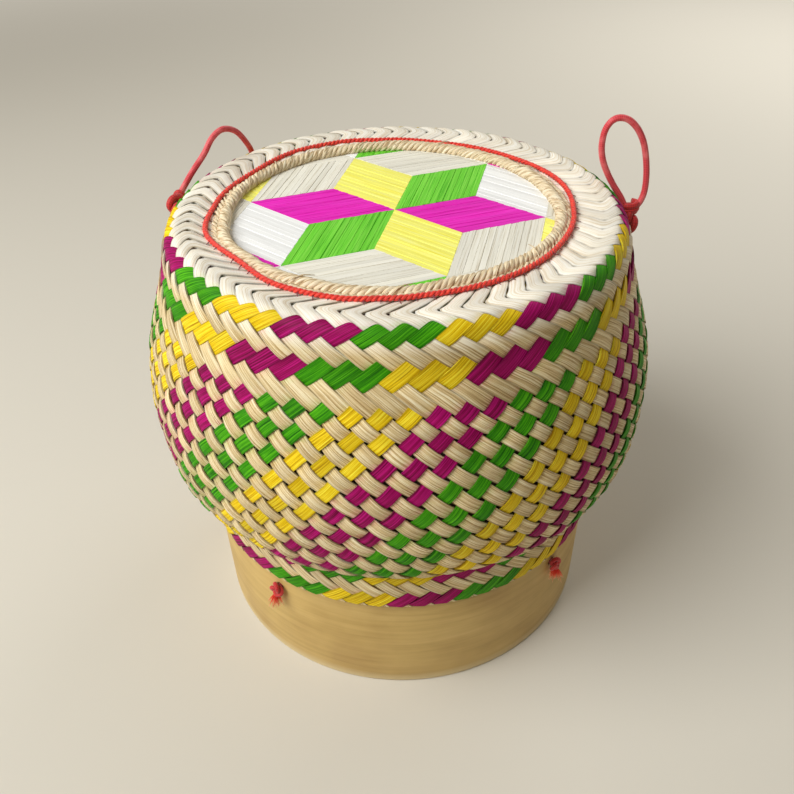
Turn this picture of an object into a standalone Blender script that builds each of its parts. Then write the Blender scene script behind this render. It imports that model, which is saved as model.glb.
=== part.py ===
# Sticky rice basket: a deep woven lid with a star panel, over a double-walled
# woven body that is bound to a bent wooden foot, with a red cord at each side.
# Units are metres and +Z is up. The front faces -Y. The origin is the middle of
# the foot's underside. Angles are in degrees, counterclockwise from +X.

import math

import bmesh
import bpy
from mathutils import Vector

GAP = 0.0003                  # room between pieces that lie against each other
FACETS = 36                   # facets round a turned piece
STRIPS = 63                   # bamboo strips that run each way round the weave

FOOT_RADIUS = 0.0630
FOOT_HEIGHT = 0.0440
FOOT_WALL = 0.0045
FOOT_EDGE = 0.0006            # chamfer on the hoop's edges
FOOT_LAP_LENGTH = 0.0300      # how far the hoop's two ends overlap
FOOT_LAP_ANGLE = 76.0         # where the lap begins, at the back
FOOT_LAP_TIP = 0.0007         # thickness that is left at each end of the hoop
LAP_PEG_RADIUS = 0.0011
LAP_PEG_COUNT = 3

BODY_WALL = 0.0015
BODY_LINING_WALL = 0.0012
BAND_DROP = 0.0040            # how far the band's points hang over the foot
BAND_POINT_DEPTH = 0.0030
BODY_FLOOR_DEPTH = 0.0062     # from the foot's top down to the floor's underside
BODY_BINDING_HEIGHT = 0.0020
BODY_BINDING_OVERHANG = 0.0005
BODY_TAPER_POWER = 1.6        # how late the body draws in towards its mouth
FLOOR_FILLET = 0.6            # inner rounding at the floor, in lining walls

LID_WALL = 0.0012
LID_LINING_WALL = 0.0008
LID_CLEARANCE = 0.0006        # running room between the lid's mouth and the body
LID_MOUTH_HEIGHT = 0.0565
LID_TOP = 0.1328
LOWER_RADIUS = 0.0728
LOWER_HEIGHT = 0.0630
BELLY_RADIUS = 0.0750
BELLY_HEIGHT = 0.0800
UPPER_RADIUS = 0.0713
UPPER_HEIGHT = 0.1030
SHOULDER_RADIUS = 0.0653
SHOULDER_HEIGHT = 0.1210
CREST_RADIUS = 0.0593         # the highest circle of the rim
RIM_ROUND = 0.0036            # radius of the rim's outer rounding
TOP_RING_INNER = 0.0509
TOP_RING_DIP = 0.0012         # how far the flat ring on top slopes down inwards

PANEL_RADIUS = 0.0454
PANEL_RECESS = 0.0020         # from the lid's top down to the star panel
PANEL_STRIP = 0.0006          # thickness of the star's bamboo strips
PANEL_BACKING = 0.0010
STAR_EDGE = 0.0245            # side of one rhomb of the star pattern
STAR_TURN = -11.7             # the whole pattern's turn
STAR_SEAM = 0.0004
RIM_HOOP_RADIUS = 0.0573
BRAID_RADIUS = 0.0471
BRAID_THICKNESS = 0.0026
RIM_CORD_RISE = 0.0007        # the red cord's middle above the braid's

CORD_DIAMETER = 0.0018
CORD_STEP = 2.6               # spacing of a cord's rings, in diameters
KNOT_TURN = 0.00075           # radius of the turns that a knot's strand winds in
KNOT_RING = 2.0               # radius of the ring that it winds round, in turns
KNOT_DEPTH = 1.2              # how far it weaves in and out, in turns
KNOT_STRAND = 0.0010
KNOT_POINTS = 24
EAR_KNOT_STANDOFF = 0.0025    # from the lid's wall to the middle of an ear's knot
CORD_HOLE_RADIUS = 0.0014
CORD_HOLE_HEIGHT = 0.0335
FRONT_LEFT_HOLE = -126.5
FRONT_RIGHT_HOLE = -43.0
BACK_LEFT_HOLE = 143.0
BACK_RIGHT_HOLE = 37.0
LEFT_EAR_ANGLE = 164.0
LEFT_EAR_HEIGHT = 0.1245
RIGHT_EAR_ANGLE = 9.6
RIGHT_EAR_HEIGHT = 0.1210

# Each ear's loop, from the knot up, over and back: x, y, z.
LEFT_EAR_LOOP = [
    (-0.0645, 0.0204, 0.1272), (-0.0629, 0.0233, 0.1293), (-0.0606, 0.0264, 0.1322),
    (-0.0572, 0.0303, 0.1360), (-0.0549, 0.0329, 0.1394), (-0.0527, 0.0354, 0.1410),
    (-0.0507, 0.0378, 0.1408), (-0.0485, 0.0403, 0.1390), (-0.0468, 0.0426, 0.1356),
    (-0.0456, 0.0454, 0.1310), (-0.0464, 0.0477, 0.1270), (-0.0495, 0.0472, 0.1242),
    (-0.0545, 0.0420, 0.1228), (-0.0598, 0.0340, 0.1226), (-0.0634, 0.0272, 0.1230),
    (-0.0653, 0.0219, 0.1240),
]
RIGHT_EAR_LOOP = [
    (0.0669, 0.0114, 0.1243), (0.0652, 0.0121, 0.1276), (0.0623, 0.0125, 0.1316),
    (0.0599, 0.0125, 0.1355), (0.0582, 0.0125, 0.1392), (0.0574, 0.0125, 0.1430),
    (0.0577, 0.0125, 0.1471), (0.0592, 0.0125, 0.1497), (0.0614, 0.0125, 0.1505),
    (0.0641, 0.0125, 0.1497), (0.0669, 0.0125, 0.1470), (0.0693, 0.0125, 0.1426),
    (0.0710, 0.0124, 0.1362), (0.0716, 0.0123, 0.1305), (0.0710, 0.0121, 0.1270),
    (0.0694, 0.0119, 0.1244),
]

# Each side's pair of cords up the belly: distance from the middle line, height, and
# how far along the turn from the foot's knot to the ear the cord has come.
SIDE_CORD = [
    (0.0655, 0.0370, 0.00), (0.0667, 0.0430, 0.03), (0.0683, 0.0490, 0.08),
    (0.0722, 0.0580, 0.17), (0.0750, 0.0640, 0.26), (0.0759, 0.0690, 0.35),
    (0.0764, 0.0760, 0.47), (0.0764, 0.0840, 0.60), (0.0756, 0.0920, 0.73),
    (0.0738, 0.1000, 0.84), (0.0713, 0.1070, 0.92), (0.0692, 0.1130, 0.97),
]
SIDE_CORD_SPREAD = 0.0024     # between the two cords of a pair
SIDE_CORD_TOP_GAP = 0.0005    # from a cord's top end up to the ear's knot


def reset_scene():
    for obj in list(bpy.data.objects):
        bpy.data.objects.remove(obj, do_unlink=True)


def new_collection(name):
    collection = bpy.data.collections.new(name)
    bpy.context.scene.collection.children.link(collection)
    return collection


def material(name, colour, roughness, metallic=0.0):
    """The finish of that name, made the first time it is asked for."""
    found = bpy.data.materials.get(name)
    if found:
        return found
    made = bpy.data.materials.new(name)
    made.use_nodes = True
    made.diffuse_color = (*colour, 1.0)
    shader = made.node_tree.nodes["Principled BSDF"]
    shader.inputs["Base Color"].default_value = (*colour, 1.0)
    shader.inputs["Roughness"].default_value = roughness
    shader.inputs["Metallic"].default_value = metallic
    return made


def natural_bamboo():
    return material("natural_bamboo", (0.70, 0.57, 0.33), 0.60)


def white_bamboo():
    return material("white_bamboo", (0.86, 0.84, 0.78), 0.55)


def magenta_bamboo():
    return material("magenta_bamboo", (0.52, 0.01, 0.24), 0.50)


def green_bamboo():
    return material("green_bamboo", (0.07, 0.36, 0.01), 0.50)


def yellow_bamboo():
    return material("yellow_bamboo", (0.78, 0.58, 0.02), 0.50)


def foot_wood():
    return material("foot_wood", (0.58, 0.40, 0.18), 0.55)


def red_cord():
    return material("red_cord", (0.75, 0.03, 0.01), 0.80)


def add_object(name, data, collection, finish=None):
    obj = bpy.data.objects.new(name, data)
    collection.objects.link(obj)
    if finish:
        data.materials.append(finish)
    return obj


def hide_cutter(obj):
    obj.hide_render = True
    obj.display_type = "WIRE"


def evaluated_mesh(obj):
    """The object's mesh with its modifiers or its curve worked out, and welded."""
    graph = bpy.context.evaluated_depsgraph_get()
    mesh = bpy.data.meshes.new_from_object(obj.evaluated_get(graph))
    bm = bmesh.new()
    bm.from_mesh(mesh)
    bmesh.ops.remove_doubles(bm, verts=bm.verts, dist=0.00002)
    bmesh.ops.recalc_face_normals(bm, faces=bm.faces)
    bm.to_mesh(mesh)
    bm.free()
    return mesh


def polar(radius, angle, height):
    turn = math.radians(angle)
    return Vector((radius * math.cos(turn), radius * math.sin(turn), height))


def turned(name, profile, collection, finish, closed):
    """Turns a profile of (radius, height) points round Z with a Screw modifier."""
    mesh = bpy.data.meshes.new(name)
    bm = bmesh.new()
    corners = [bm.verts.new((radius, 0.0, height)) for radius, height in profile]
    for first, second in zip(corners, corners[1:]):
        bm.edges.new((first, second))
    if closed:
        bm.edges.new((corners[-1], corners[0]))
    bm.to_mesh(mesh)
    bm.free()
    obj = add_object(name, mesh, collection, finish)
    screw = obj.modifiers.new("turn", "SCREW")
    screw.axis = "Z"
    screw.angle = math.tau
    screw.steps = FACETS
    screw.render_steps = FACETS
    screw.use_merge_vertices = True
    screw.merge_threshold = 0.00002
    screw.use_smooth_shade = True
    return obj


def smooth_points(stations, per_span):
    """Points on a Catmull-Rom curve through the stations, ends included."""
    stations = [Vector(point) for point in stations]
    before = stations[0] * 2 - stations[1]
    after = stations[-1] * 2 - stations[-2]
    padded = [before] + stations + [after]
    points = []
    for a, b, c, d in zip(padded, padded[1:], padded[2:], padded[3:]):
        for step in range(per_span):
            t = step / per_span
            points.append(0.5 * (2 * b + (c - a) * t + (2 * a - 5 * b + 4 * c - d) * t ** 2
                                 + (3 * b - a - 3 * c + d) * t ** 3))
    points.append(stations[-1])
    return points


def even_points(points, spacing):
    """The same route, with its points an equal distance apart."""
    lengths = [0.0]
    for first, second in zip(points, points[1:]):
        lengths.append(lengths[-1] + (second - first).length)
    count = max(2, round(lengths[-1] / spacing))
    even = []
    span = 0
    for step in range(count + 1):
        wanted = lengths[-1] * step / count
        while span < len(points) - 2 and lengths[span + 1] < wanted:
            span += 1
        share = (wanted - lengths[span]) / (lengths[span + 1] - lengths[span])
        even.append(points[span].lerp(points[span + 1], min(1.0, share)))
    return even


def offset_profile(profile, distance):
    """A turned profile moved outwards by a distance, square to its own run."""
    moved = []
    last = len(profile) - 1
    for index, (radius, height) in enumerate(profile):
        before = Vector(profile[max(index - 1, 0)])
        after = Vector(profile[min(index + 1, last)])
        run = (after - before).normalized()
        moved.append((radius - run.y * distance, height + run.x * distance))
    return moved


def radius_at(profile, height):
    """The profile's radius at a height, on its outer side."""
    for (r_high, z_high), (r_low, z_low) in zip(profile, profile[1:]):
        if z_low <= height <= z_high and z_high > z_low:
            return r_low + (r_high - r_low) * (height - z_low) / (z_high - z_low)
    return profile[-1][0]


# Sizes that follow from the ones above.
BAND_RADIUS = FOOT_RADIUS + GAP + BODY_WALL
LID_THICKNESS = LID_WALL + GAP + LID_LINING_WALL
MOUTH_SLOPE = math.cos(math.radians(45.0))
MOUTH_RADIUS = BAND_RADIUS + LID_CLEARANCE + LID_THICKNESS * MOUTH_SLOPE
PANEL_TOP = LID_TOP - PANEL_RECESS
BACKING_TOP = PANEL_TOP - PANEL_STRIP - GAP
LINING_TOP = BACKING_TOP - PANEL_BACKING - GAP
BODY_TOP = LINING_TOP - LID_LINING_WALL - GAP
BODY_WALL_TOP = BODY_TOP - BODY_BINDING_HEIGHT - GAP
CORD_RADIUS = CORD_DIAMETER / 2


def lid_profile():
    """The lid's outer side, from the inner edge of its flat top down its rounded belly,
    and straight in from the belly's lower turn to the mouth."""
    points = [(TOP_RING_INNER, LID_TOP - TOP_RING_DIP)]
    centre = LID_TOP - RIM_ROUND
    for turn in (90.0, 65.0, 40.0, 15.0):
        angle = math.radians(turn)
        points.append((CREST_RADIUS + RIM_ROUND * math.cos(angle),
                       centre + RIM_ROUND * math.sin(angle)))
    side = [points[-1], (SHOULDER_RADIUS, SHOULDER_HEIGHT), (UPPER_RADIUS, UPPER_HEIGHT),
            (BELLY_RADIUS, BELLY_HEIGHT), (LOWER_RADIUS, LOWER_HEIGHT)]
    points += [tuple(point) for point in smooth_points(side, 2)[1:]]
    return points + [(MOUTH_RADIUS, LID_MOUTH_HEIGHT)]


def lid_lining_side(distance):
    """The lid's side moved inwards by a distance, up to the lining's ceiling."""
    inner = offset_profile(lid_profile(), -distance)
    side = [point for point in inner if point[1] < LINING_TOP - LID_LINING_WALL - 0.001]
    return side, radius_at(inner, LINING_TOP)


def make_lid_outer_wall(collection):
    """The coloured outer weave, an open turned skin that is given its thickness."""
    wall = turned("lid_outer_wall", lid_profile(), collection, magenta_bamboo(), False)
    solidify = wall.modifiers.new("weave", "SOLIDIFY")
    solidify.thickness = LID_WALL
    solidify.offset = -1.0
    solidify.use_even_offset = True
    return wall


def make_lid_lining(collection):
    """The plain inner weave, which follows the outer one and closes over the top."""
    outer, outer_top = lid_lining_side(LID_WALL + GAP)
    inner, inner_top = lid_lining_side(LID_THICKNESS)
    profile = [(0.0, LINING_TOP), (outer_top, LINING_TOP)] + outer
    profile += inner[::-1]
    profile += [(inner_top, LINING_TOP - LID_LINING_WALL), (0.0, LINING_TOP - LID_LINING_WALL)]
    return turned("lid_lining", profile, collection, natural_bamboo(), False)


def ring_profile(radius, height, half_width, half_height, corners):
    """A closed oval section, run down its outer side first."""
    profile = []
    for corner in range(corners):
        angle = math.pi / 2 - math.tau * corner / corners
        profile.append((radius + half_width * math.cos(angle),
                        height + half_height * math.sin(angle)))
    return profile


def make_rim_hoop(collection):
    """The cane hoop inside the rim, held between the lining and the flat top."""
    slope = TOP_RING_DIP / (CREST_RADIUS - TOP_RING_INNER)
    underside = LID_TOP - slope * (CREST_RADIUS - RIM_HOOP_RADIUS) - LID_WALL
    half = (underside - LINING_TOP) / 2 - GAP
    profile = ring_profile(RIM_HOOP_RADIUS, LINING_TOP + GAP + half, half, half, 6)
    turned("rim_core_hoop", profile, collection, foot_wood(), True)
    return half


def make_panel_backing(collection, hoop_half):
    """The stiff woven disc that carries the star's strips."""
    edge = RIM_HOOP_RADIUS - hoop_half - GAP * 2
    low = BACKING_TOP - PANEL_BACKING
    profile = [(0.0, BACKING_TOP), (edge, BACKING_TOP), (edge, low), (0.0, low)]
    return turned("panel_backing", profile, collection, natural_bamboo(), False)


def make_rim_trim(collection):
    """The natural twisted braid round the panel, and the red cord in its groove."""
    half = BRAID_THICKNESS / 2
    braid_height = BACKING_TOP + GAP + half
    profile = ring_profile(BRAID_RADIUS, braid_height, half, half, 6)
    turned("rim_braid", profile, collection, natural_bamboo(), True)
    room = (BRAID_RADIUS + half + TOP_RING_INNER) / 2
    cord_height = braid_height + RIM_CORD_RISE
    profile = ring_profile(room - GAP / 2, cord_height, CORD_RADIUS, CORD_RADIUS, 6)
    turned("rim_cord", profile, collection, red_cord(), True)


def star_rhombs():
    """Centre, heading, grain lane and grain of each rhomb that reaches the panel."""
    spacing = math.sqrt(3) * STAR_EDGE
    one = Vector((spacing, 0.0))
    two = Vector((spacing / 2, spacing * math.sqrt(3) / 2))
    rhombs = []
    for heading in (0, 60, 120):
        turn = math.radians(heading)
        half = Vector((math.cos(turn), math.sin(turn))) * spacing / 2
        grain = heading + 30
        across = Vector((-math.sin(math.radians(grain)), math.cos(math.radians(grain))))
        for i in range(-3, 4):
            for j in range(-3, 4):
                centre = one * i + two * j + half
                near = max(0.0, centre.length - spacing / 2)
                if near < PANEL_RADIUS - STAR_EDGE / 8:
                    rhombs.append((centre, heading, centre.dot(across), grain))
    return rhombs


def rhomb_colour(lane, grain):
    """Only the two middle lanes of each direction are dyed."""
    middle = math.sqrt(3) / 4 * STAR_EDGE
    if abs(lane) < middle * 1.5:
        return {30: "magenta", 90: "green", 150: "yellow"}[grain]
    return "white" if grain == 150 else "natural"


def rhomb_outline(centre, heading):
    inradius = STAR_EDGE * math.sin(math.radians(60.0)) / 2
    shrink = 1.0 - STAR_SEAM / 2 / inradius
    turn = math.radians(heading)
    along = Vector((math.cos(turn), math.sin(turn))) * math.sqrt(3) / 2 * STAR_EDGE
    across = Vector((-math.sin(turn), math.cos(turn))) * STAR_EDGE / 2
    return [centre + side * shrink for side in (along, across, -along, -across)]


def flat_piece(name, outline, thickness, collection, finish):
    """A flat solid of one closed outline, from a filled 2D curve with an extrude."""
    curve = bpy.data.curves.new(name, "CURVE")
    curve.dimensions = "2D"
    curve.fill_mode = "BOTH"
    curve.extrude = thickness / 2
    spline = curve.splines.new("POLY")
    spline.points.add(len(outline) - 1)
    for point, (x, y) in zip(spline.points, outline):
        point.co = (x, y, 0.0, 1.0)
    spline.use_cyclic_u = True
    drawn = add_object(name + "_outline", curve, collection)
    mesh = evaluated_mesh(drawn)
    bpy.data.objects.remove(drawn, do_unlink=True)
    return add_object(name, mesh, collection, finish)


def make_star_panel(collection, cutters):
    """The tumbling-block star: dyed, natural and white rhombs cut to a round panel."""
    bpy.ops.mesh.primitive_cylinder_add(vertices=FACETS * 2, radius=PANEL_RADIUS,
                                        depth=PANEL_STRIP * 4)
    disc = bpy.context.object
    disc.name = "panel_disc_cutter"
    disc.location.z = PANEL_TOP - PANEL_STRIP / 2
    move_to(disc, cutters)
    hide_cutter(disc)
    finishes = {"magenta": magenta_bamboo, "green": green_bamboo, "yellow": yellow_bamboo,
                "natural": natural_bamboo, "white": white_bamboo}
    made = {colour: [] for colour in finishes}
    for centre, heading, lane, grain in star_rhombs():
        colour = rhomb_colour(lane, grain)
        name = f"star_{colour}_{len(made[colour]) + 1}"
        tile = flat_piece(name, rhomb_outline(centre, heading), PANEL_STRIP, collection,
                          finishes[colour]())
        tile.location.z = PANEL_TOP - PANEL_STRIP / 2
        tile.rotation_euler.z = math.radians(STAR_TURN)
        trim = tile.modifiers.new("round", "BOOLEAN")
        trim.operation = "INTERSECT"
        trim.object = disc
        made[colour].append(name)
    return [name for names in made.values() for name in names]


def move_to(obj, collection):
    for other in list(obj.users_collection):
        other.objects.unlink(obj)
    collection.objects.link(obj)


def make_foot_ring(collection, cutters):
    """The bent wooden hoop, whose two ends taper past each other in a lap."""
    inner = FOOT_RADIUS - FOOT_WALL
    lap = math.degrees(FOOT_LAP_LENGTH / FOOT_RADIUS)
    slip = math.degrees(GAP / FOOT_RADIUS)

    def joint(turn):
        share = turn / lap
        return inner + FOOT_LAP_TIP + (FOOT_WALL - 2 * FOOT_LAP_TIP) * share

    lap_turns = [lap * step / 4 for step in range(5)]
    rounds = FACETS * 3 // 2
    span = (360.0 - lap - 2 * slip) / rounds
    round_turns = [lap + slip + span * step for step in range(rounds + 1)]
    sections = [(turn, inner, joint(turn) - GAP / 2) for turn in lap_turns]
    sections += [(turn, inner, FOOT_RADIUS) for turn in round_turns]
    sections += [(turn + 360.0, joint(turn) + GAP / 2, FOOT_RADIUS) for turn in lap_turns]

    mesh = bpy.data.meshes.new("foot_ring")
    bm = bmesh.new()
    rings = []
    for turn, near, far in sections:
        edge = min(FOOT_EDGE, (far - near) * 0.3)
        outline = [(near, edge), (near + edge, 0.0), (far - edge, 0.0), (far, edge),
                   (far, FOOT_HEIGHT - edge), (far - edge, FOOT_HEIGHT),
                   (near + edge, FOOT_HEIGHT), (near, FOOT_HEIGHT - edge)]
        angle = FOOT_LAP_ANGLE + turn
        rings.append([bm.verts.new(polar(radius, angle, height)) for radius, height in outline])
    for first, second in zip(rings, rings[1:]):
        for index in range(len(first)):
            follow = (index + 1) % len(first)
            bm.faces.new((first[index], first[follow], second[follow], second[index]))
    bm.faces.new(rings[0][::-1])
    bm.faces.new(rings[-1])
    bmesh.ops.recalc_face_normals(bm, faces=bm.faces)
    bm.to_mesh(mesh)
    bm.free()
    foot = add_object("foot_ring", mesh, collection, foot_wood())

    for angle in (FRONT_LEFT_HOLE, FRONT_RIGHT_HOLE, BACK_LEFT_HOLE, BACK_RIGHT_HOLE):
        cut_foot(foot, cutters, CORD_HOLE_RADIUS, angle, CORD_HOLE_HEIGHT)
    peg_angle = FOOT_LAP_ANGLE + lap / 2
    for index in range(LAP_PEG_COUNT):
        height = FOOT_HEIGHT * (index + 0.5) / LAP_PEG_COUNT
        cut_foot(foot, cutters, LAP_PEG_RADIUS + GAP, peg_angle, height)
    return peg_angle


def radial_rod(name, radius, near, far, angle, height, sides):
    """A round rod that lies along a radius of the hoop."""
    bpy.ops.mesh.primitive_cylinder_add(vertices=sides, radius=radius, depth=far - near)
    rod = bpy.context.object
    rod.name = name
    rod.rotation_euler = (0.0, math.pi / 2, math.radians(angle))
    rod.location = polar((near + far) / 2, angle, height)
    return rod


def cut_foot(foot, cutters, radius, angle, height):
    cutter = radial_rod("foot_hole_cutter", radius, FOOT_RADIUS - 2 * FOOT_WALL,
                        FOOT_RADIUS + FOOT_WALL, angle, height, 10)
    move_to(cutter, cutters)
    hide_cutter(cutter)
    cut = foot.modifiers.new("hole", "BOOLEAN")
    cut.operation = "DIFFERENCE"
    cut.object = cutter


def make_lap_pegs(collection, angle):
    """The bamboo pegs that hold the lap shut."""
    for index in range(LAP_PEG_COUNT):
        height = FOOT_HEIGHT * (index + 0.5) / LAP_PEG_COUNT
        peg = radial_rod(f"foot_lap_peg_{index + 1}", LAP_PEG_RADIUS, FOOT_RADIUS - FOOT_WALL,
                         FOOT_RADIUS, angle, height, 8)
        peg.data.materials.append(foot_wood())
        move_to(peg, collection)


def body_top_radius():
    """The body's mouth, as wide as the closed lid's lining lets it be."""
    lining = offset_profile(lid_profile(), -LID_THICKNESS)
    return radius_at(lining, LINING_TOP) - LID_CLEARANCE - BODY_BINDING_OVERHANG


def body_radius(height):
    """The body's outer side: straight at the band, then drawn in towards its mouth, and
    never nearer to the lid's lining than the running room between them."""
    if height <= LID_MOUTH_HEIGHT:
        return BAND_RADIUS
    share = (height - LID_MOUTH_HEIGHT) / (BODY_WALL_TOP - LID_MOUTH_HEIGHT)
    drawn_in = (BAND_RADIUS - body_top_radius()) * share ** BODY_TAPER_POWER
    lining = offset_profile(lid_profile(), -LID_THICKNESS)
    return min(BAND_RADIUS - drawn_in, radius_at(lining, height) - LID_CLEARANCE)


def body_side_heights():
    """Where both of the body's walls have a ring, from the mouth down to the band."""
    between = (UPPER_HEIGHT, BELLY_HEIGHT, LOWER_HEIGHT)
    inside = [height for height in between if LID_MOUTH_HEIGHT < height < BODY_WALL_TOP]
    return [BODY_WALL_TOP] + inside + [LID_MOUTH_HEIGHT]


def make_body_outer_wall(collection):
    """The outer weave, whose cut strip ends hang in points over the foot's top."""
    low = FOOT_HEIGHT - BAND_DROP
    heights = body_side_heights() + [low + 2 * BAND_POINT_DEPTH, low]
    mesh = bpy.data.meshes.new("body_outer_wall")
    bm = bmesh.new()
    corners = [bm.verts.new((body_radius(height), 0.0, height)) for height in heights]
    edges = [bm.edges.new(pair) for pair in zip(corners, corners[1:])]
    bmesh.ops.spin(bm, geom=corners + edges, cent=(0, 0, 0), axis=(0, 0, 1),
                   angle=math.tau, steps=STRIPS * 2, use_merge=True)
    bmesh.ops.remove_doubles(bm, verts=bm.verts, dist=0.00002)
    pitch = math.pi / STRIPS
    for vert in bm.verts:
        column = round(math.atan2(vert.co.y, vert.co.x) / pitch)
        if vert.co.z < low + 0.0001 and column % 2:
            vert.co.z += BAND_POINT_DEPTH
    bm.normal_update()
    if sum(face.normal.dot(face.calc_center_median()) for face in bm.faces) < 0:
        bmesh.ops.reverse_faces(bm, faces=bm.faces)
    bm.to_mesh(mesh)
    bm.free()
    wall = add_object("body_outer_wall", mesh, collection, natural_bamboo())
    solidify = wall.modifiers.new("weave", "SOLIDIFY")
    solidify.thickness = BODY_WALL
    solidify.offset = -1.0
    return wall


def make_body_lining(collection):
    """The inner weave: the wall inside the body, its step over the foot and its floor."""
    wall = BODY_LINING_WALL
    corner = wall * (1.0 + FLOOR_FILLET)
    in_foot = FOOT_RADIUS - FOOT_WALL - GAP
    step = FOOT_HEIGHT + GAP
    low = FOOT_HEIGHT - BODY_FLOOR_DEPTH
    side = [(body_radius(height) - BODY_WALL - GAP, height) for height in body_side_heights()]
    outer = list(side)
    waist = BAND_RADIUS - BODY_WALL - GAP
    outer += [(waist, step), (in_foot, step), (in_foot, low + wall)]
    outer += [(in_foot - wall, low), (0.0, low)]
    inner = [(0.0, low + wall), (in_foot - corner, low + wall),
             (in_foot - wall, low + corner), (in_foot - wall, step + wall),
             (waist - wall, step + wall)]
    inner += [(radius - wall, height) for radius, height in side[::-1]]
    return turned("body_lining", inner + outer, collection, natural_bamboo(), False)


def make_body_binding(collection):
    """The folded binding that covers the top edges of both walls."""
    far = body_top_radius() + BODY_BINDING_OVERHANG
    near = body_top_radius() - BODY_WALL - GAP - BODY_LINING_WALL - BODY_BINDING_OVERHANG
    middle = BODY_TOP - BODY_BINDING_HEIGHT / 2
    profile = ring_profile((near + far) / 2, middle, (far - near) / 2,
                           BODY_BINDING_HEIGHT / 2, 6)
    turned("body_rim_binding", profile, collection, natural_bamboo(), True)


def cord(name, route, collection):
    """A round cord along a route, with a point every few diameters."""
    curve = bpy.data.curves.new(name, "CURVE")
    curve.dimensions = "3D"
    curve.bevel_depth = CORD_RADIUS
    curve.bevel_resolution = 1
    curve.use_fill_caps = True
    points = even_points(smooth_points(route, 8), CORD_DIAMETER * CORD_STEP)
    spline = curve.splines.new("POLY")
    spline.points.add(len(points) - 1)
    for point, place in zip(spline.points, points):
        point.co = (*place, 1.0)
    return add_object(name, curve, collection, red_cord())


def knot(name, centre, angle, collection):
    """An overhand knot pulled snug: one closed strand that winds twice round a ring
    and three times through it, and lies flat to the wall."""
    outward = polar(1.0, angle, 0.0)
    sideways = Vector((-outward.y, outward.x, 0.0))
    curve = bpy.data.curves.new(name, "CURVE")
    curve.dimensions = "3D"
    curve.bevel_depth = KNOT_STRAND / 2
    curve.bevel_resolution = 1
    spline = curve.splines.new("POLY")
    spline.points.add(KNOT_POINTS - 1)
    for index, point in enumerate(spline.points):
        turn = math.tau * index / KNOT_POINTS
        reach = KNOT_RING + math.cos(3 * turn)
        across = sideways * reach * math.sin(2 * turn)
        up = Vector((0.0, 0.0, reach * math.cos(2 * turn)))
        out = outward * math.sin(3 * turn) * KNOT_DEPTH
        point.co = (*(centre + (across + up + out) * KNOT_TURN), 1.0)
    spline.use_cyclic_u = True
    drawn = add_object(name + "_strand", curve, collection)
    mesh = evaluated_mesh(drawn)
    bpy.data.objects.remove(drawn, do_unlink=True)
    tied = add_object(name, mesh, collection, red_cord())
    tied.modifiers.new("flat_facets", "TRIANGULATE")
    return tied


def knot_reach():
    return (KNOT_RING + 1.0) * KNOT_TURN + KNOT_STRAND / 2


def knot_depth():
    return KNOT_DEPTH * KNOT_TURN + KNOT_STRAND / 2


def ear_centre(angle, height):
    """An ear's knot swings about its own middle, just clear of the lid's wall."""
    wall = radius_at(lid_profile(), height - knot_reach())
    return polar(wall + GAP + EAR_KNOT_STANDOFF, angle, height)


def foot_cord_route(start, end):
    """Through the foot's wall, across the hollow under the floor and out again."""
    inner = FOOT_RADIUS - FOOT_WALL
    height = CORD_HOLE_HEIGHT
    first = [polar(FOOT_RADIUS, start, height), polar(inner, start, height),
             polar(inner - 2 * CORD_DIAMETER, start, height)]
    last = [polar(inner - 2 * CORD_DIAMETER, end, height), polar(inner, end, height),
            polar(FOOT_RADIUS, end, height)]
    middle = first[-1].lerp(last[0], 0.5)
    return first + [first[-1].lerp(middle, 0.4), middle, last[0].lerp(middle, 0.4)] + last


def side_cord_routes(foot_angle, ear, ear_angle):
    """The pair of cords that climbs the belly, the front one first."""
    top = ear.z - knot_reach() - SIDE_CORD_TOP_GAP
    end = (math.hypot(ear.x, ear.y), top, 1.0)
    routes = []
    for side in (-0.5, 0.5):
        route = []
        for radius, height, share in SIDE_CORD + [end]:
            angle = foot_angle + (ear_angle - foot_angle) * share
            angle += math.degrees(side * SIDE_CORD_SPREAD / radius)
            route.append(polar(radius, angle, height))
        routes.append(route)
    return routes


def mount(names, empty):
    """Hangs pieces on an empty, with each left where it lies."""
    for name in names:
        obj = bpy.data.objects[name]
        obj.parent = empty
        obj.location -= empty.location


def pivot(name, place, collection):
    empty = bpy.data.objects.new(name, None)
    empty.empty_display_size = 0.01
    empty.location = place
    collection.objects.link(empty)
    return empty


def make_cords(collection):
    """Each side has one long cord: foot knots, the run under the floor, the pair up
    the belly, and the ear's knot and loop on the lid."""
    depth = FOOT_RADIUS + GAP + knot_depth()
    sides = (
        ("left", FRONT_LEFT_HOLE, BACK_LEFT_HOLE, LEFT_EAR_ANGLE, LEFT_EAR_HEIGHT, LEFT_EAR_LOOP),
        ("right", FRONT_RIGHT_HOLE, BACK_RIGHT_HOLE, RIGHT_EAR_ANGLE, RIGHT_EAR_HEIGHT,
         RIGHT_EAR_LOOP),
    )
    for side, front, back, ear_angle, ear_height, loop in sides:
        for place, angle in (("front", front), ("back", back)):
            knot(f"{side}_{place}_foot_knot", polar(depth, angle, CORD_HOLE_HEIGHT), angle,
                 collection)
        turn = front + 360.0 if side == "left" else front
        cord(f"{side}_foot_cord", foot_cord_route(turn, back), collection)
        ear = ear_centre(ear_angle, ear_height)
        knot(f"{side}_ear_knot", ear, ear_angle, collection)
        cord(f"{side}_ear_loop", loop, collection)
        for index, route in enumerate(side_cord_routes(back, ear, ear_angle)):
            cord(f"{side}_side_cord_{index + 1}", route, collection)
        swing = pivot(f"{side}_loop_pivot", ear, collection)
        mount((f"{side}_ear_knot", f"{side}_ear_loop"), swing)


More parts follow.
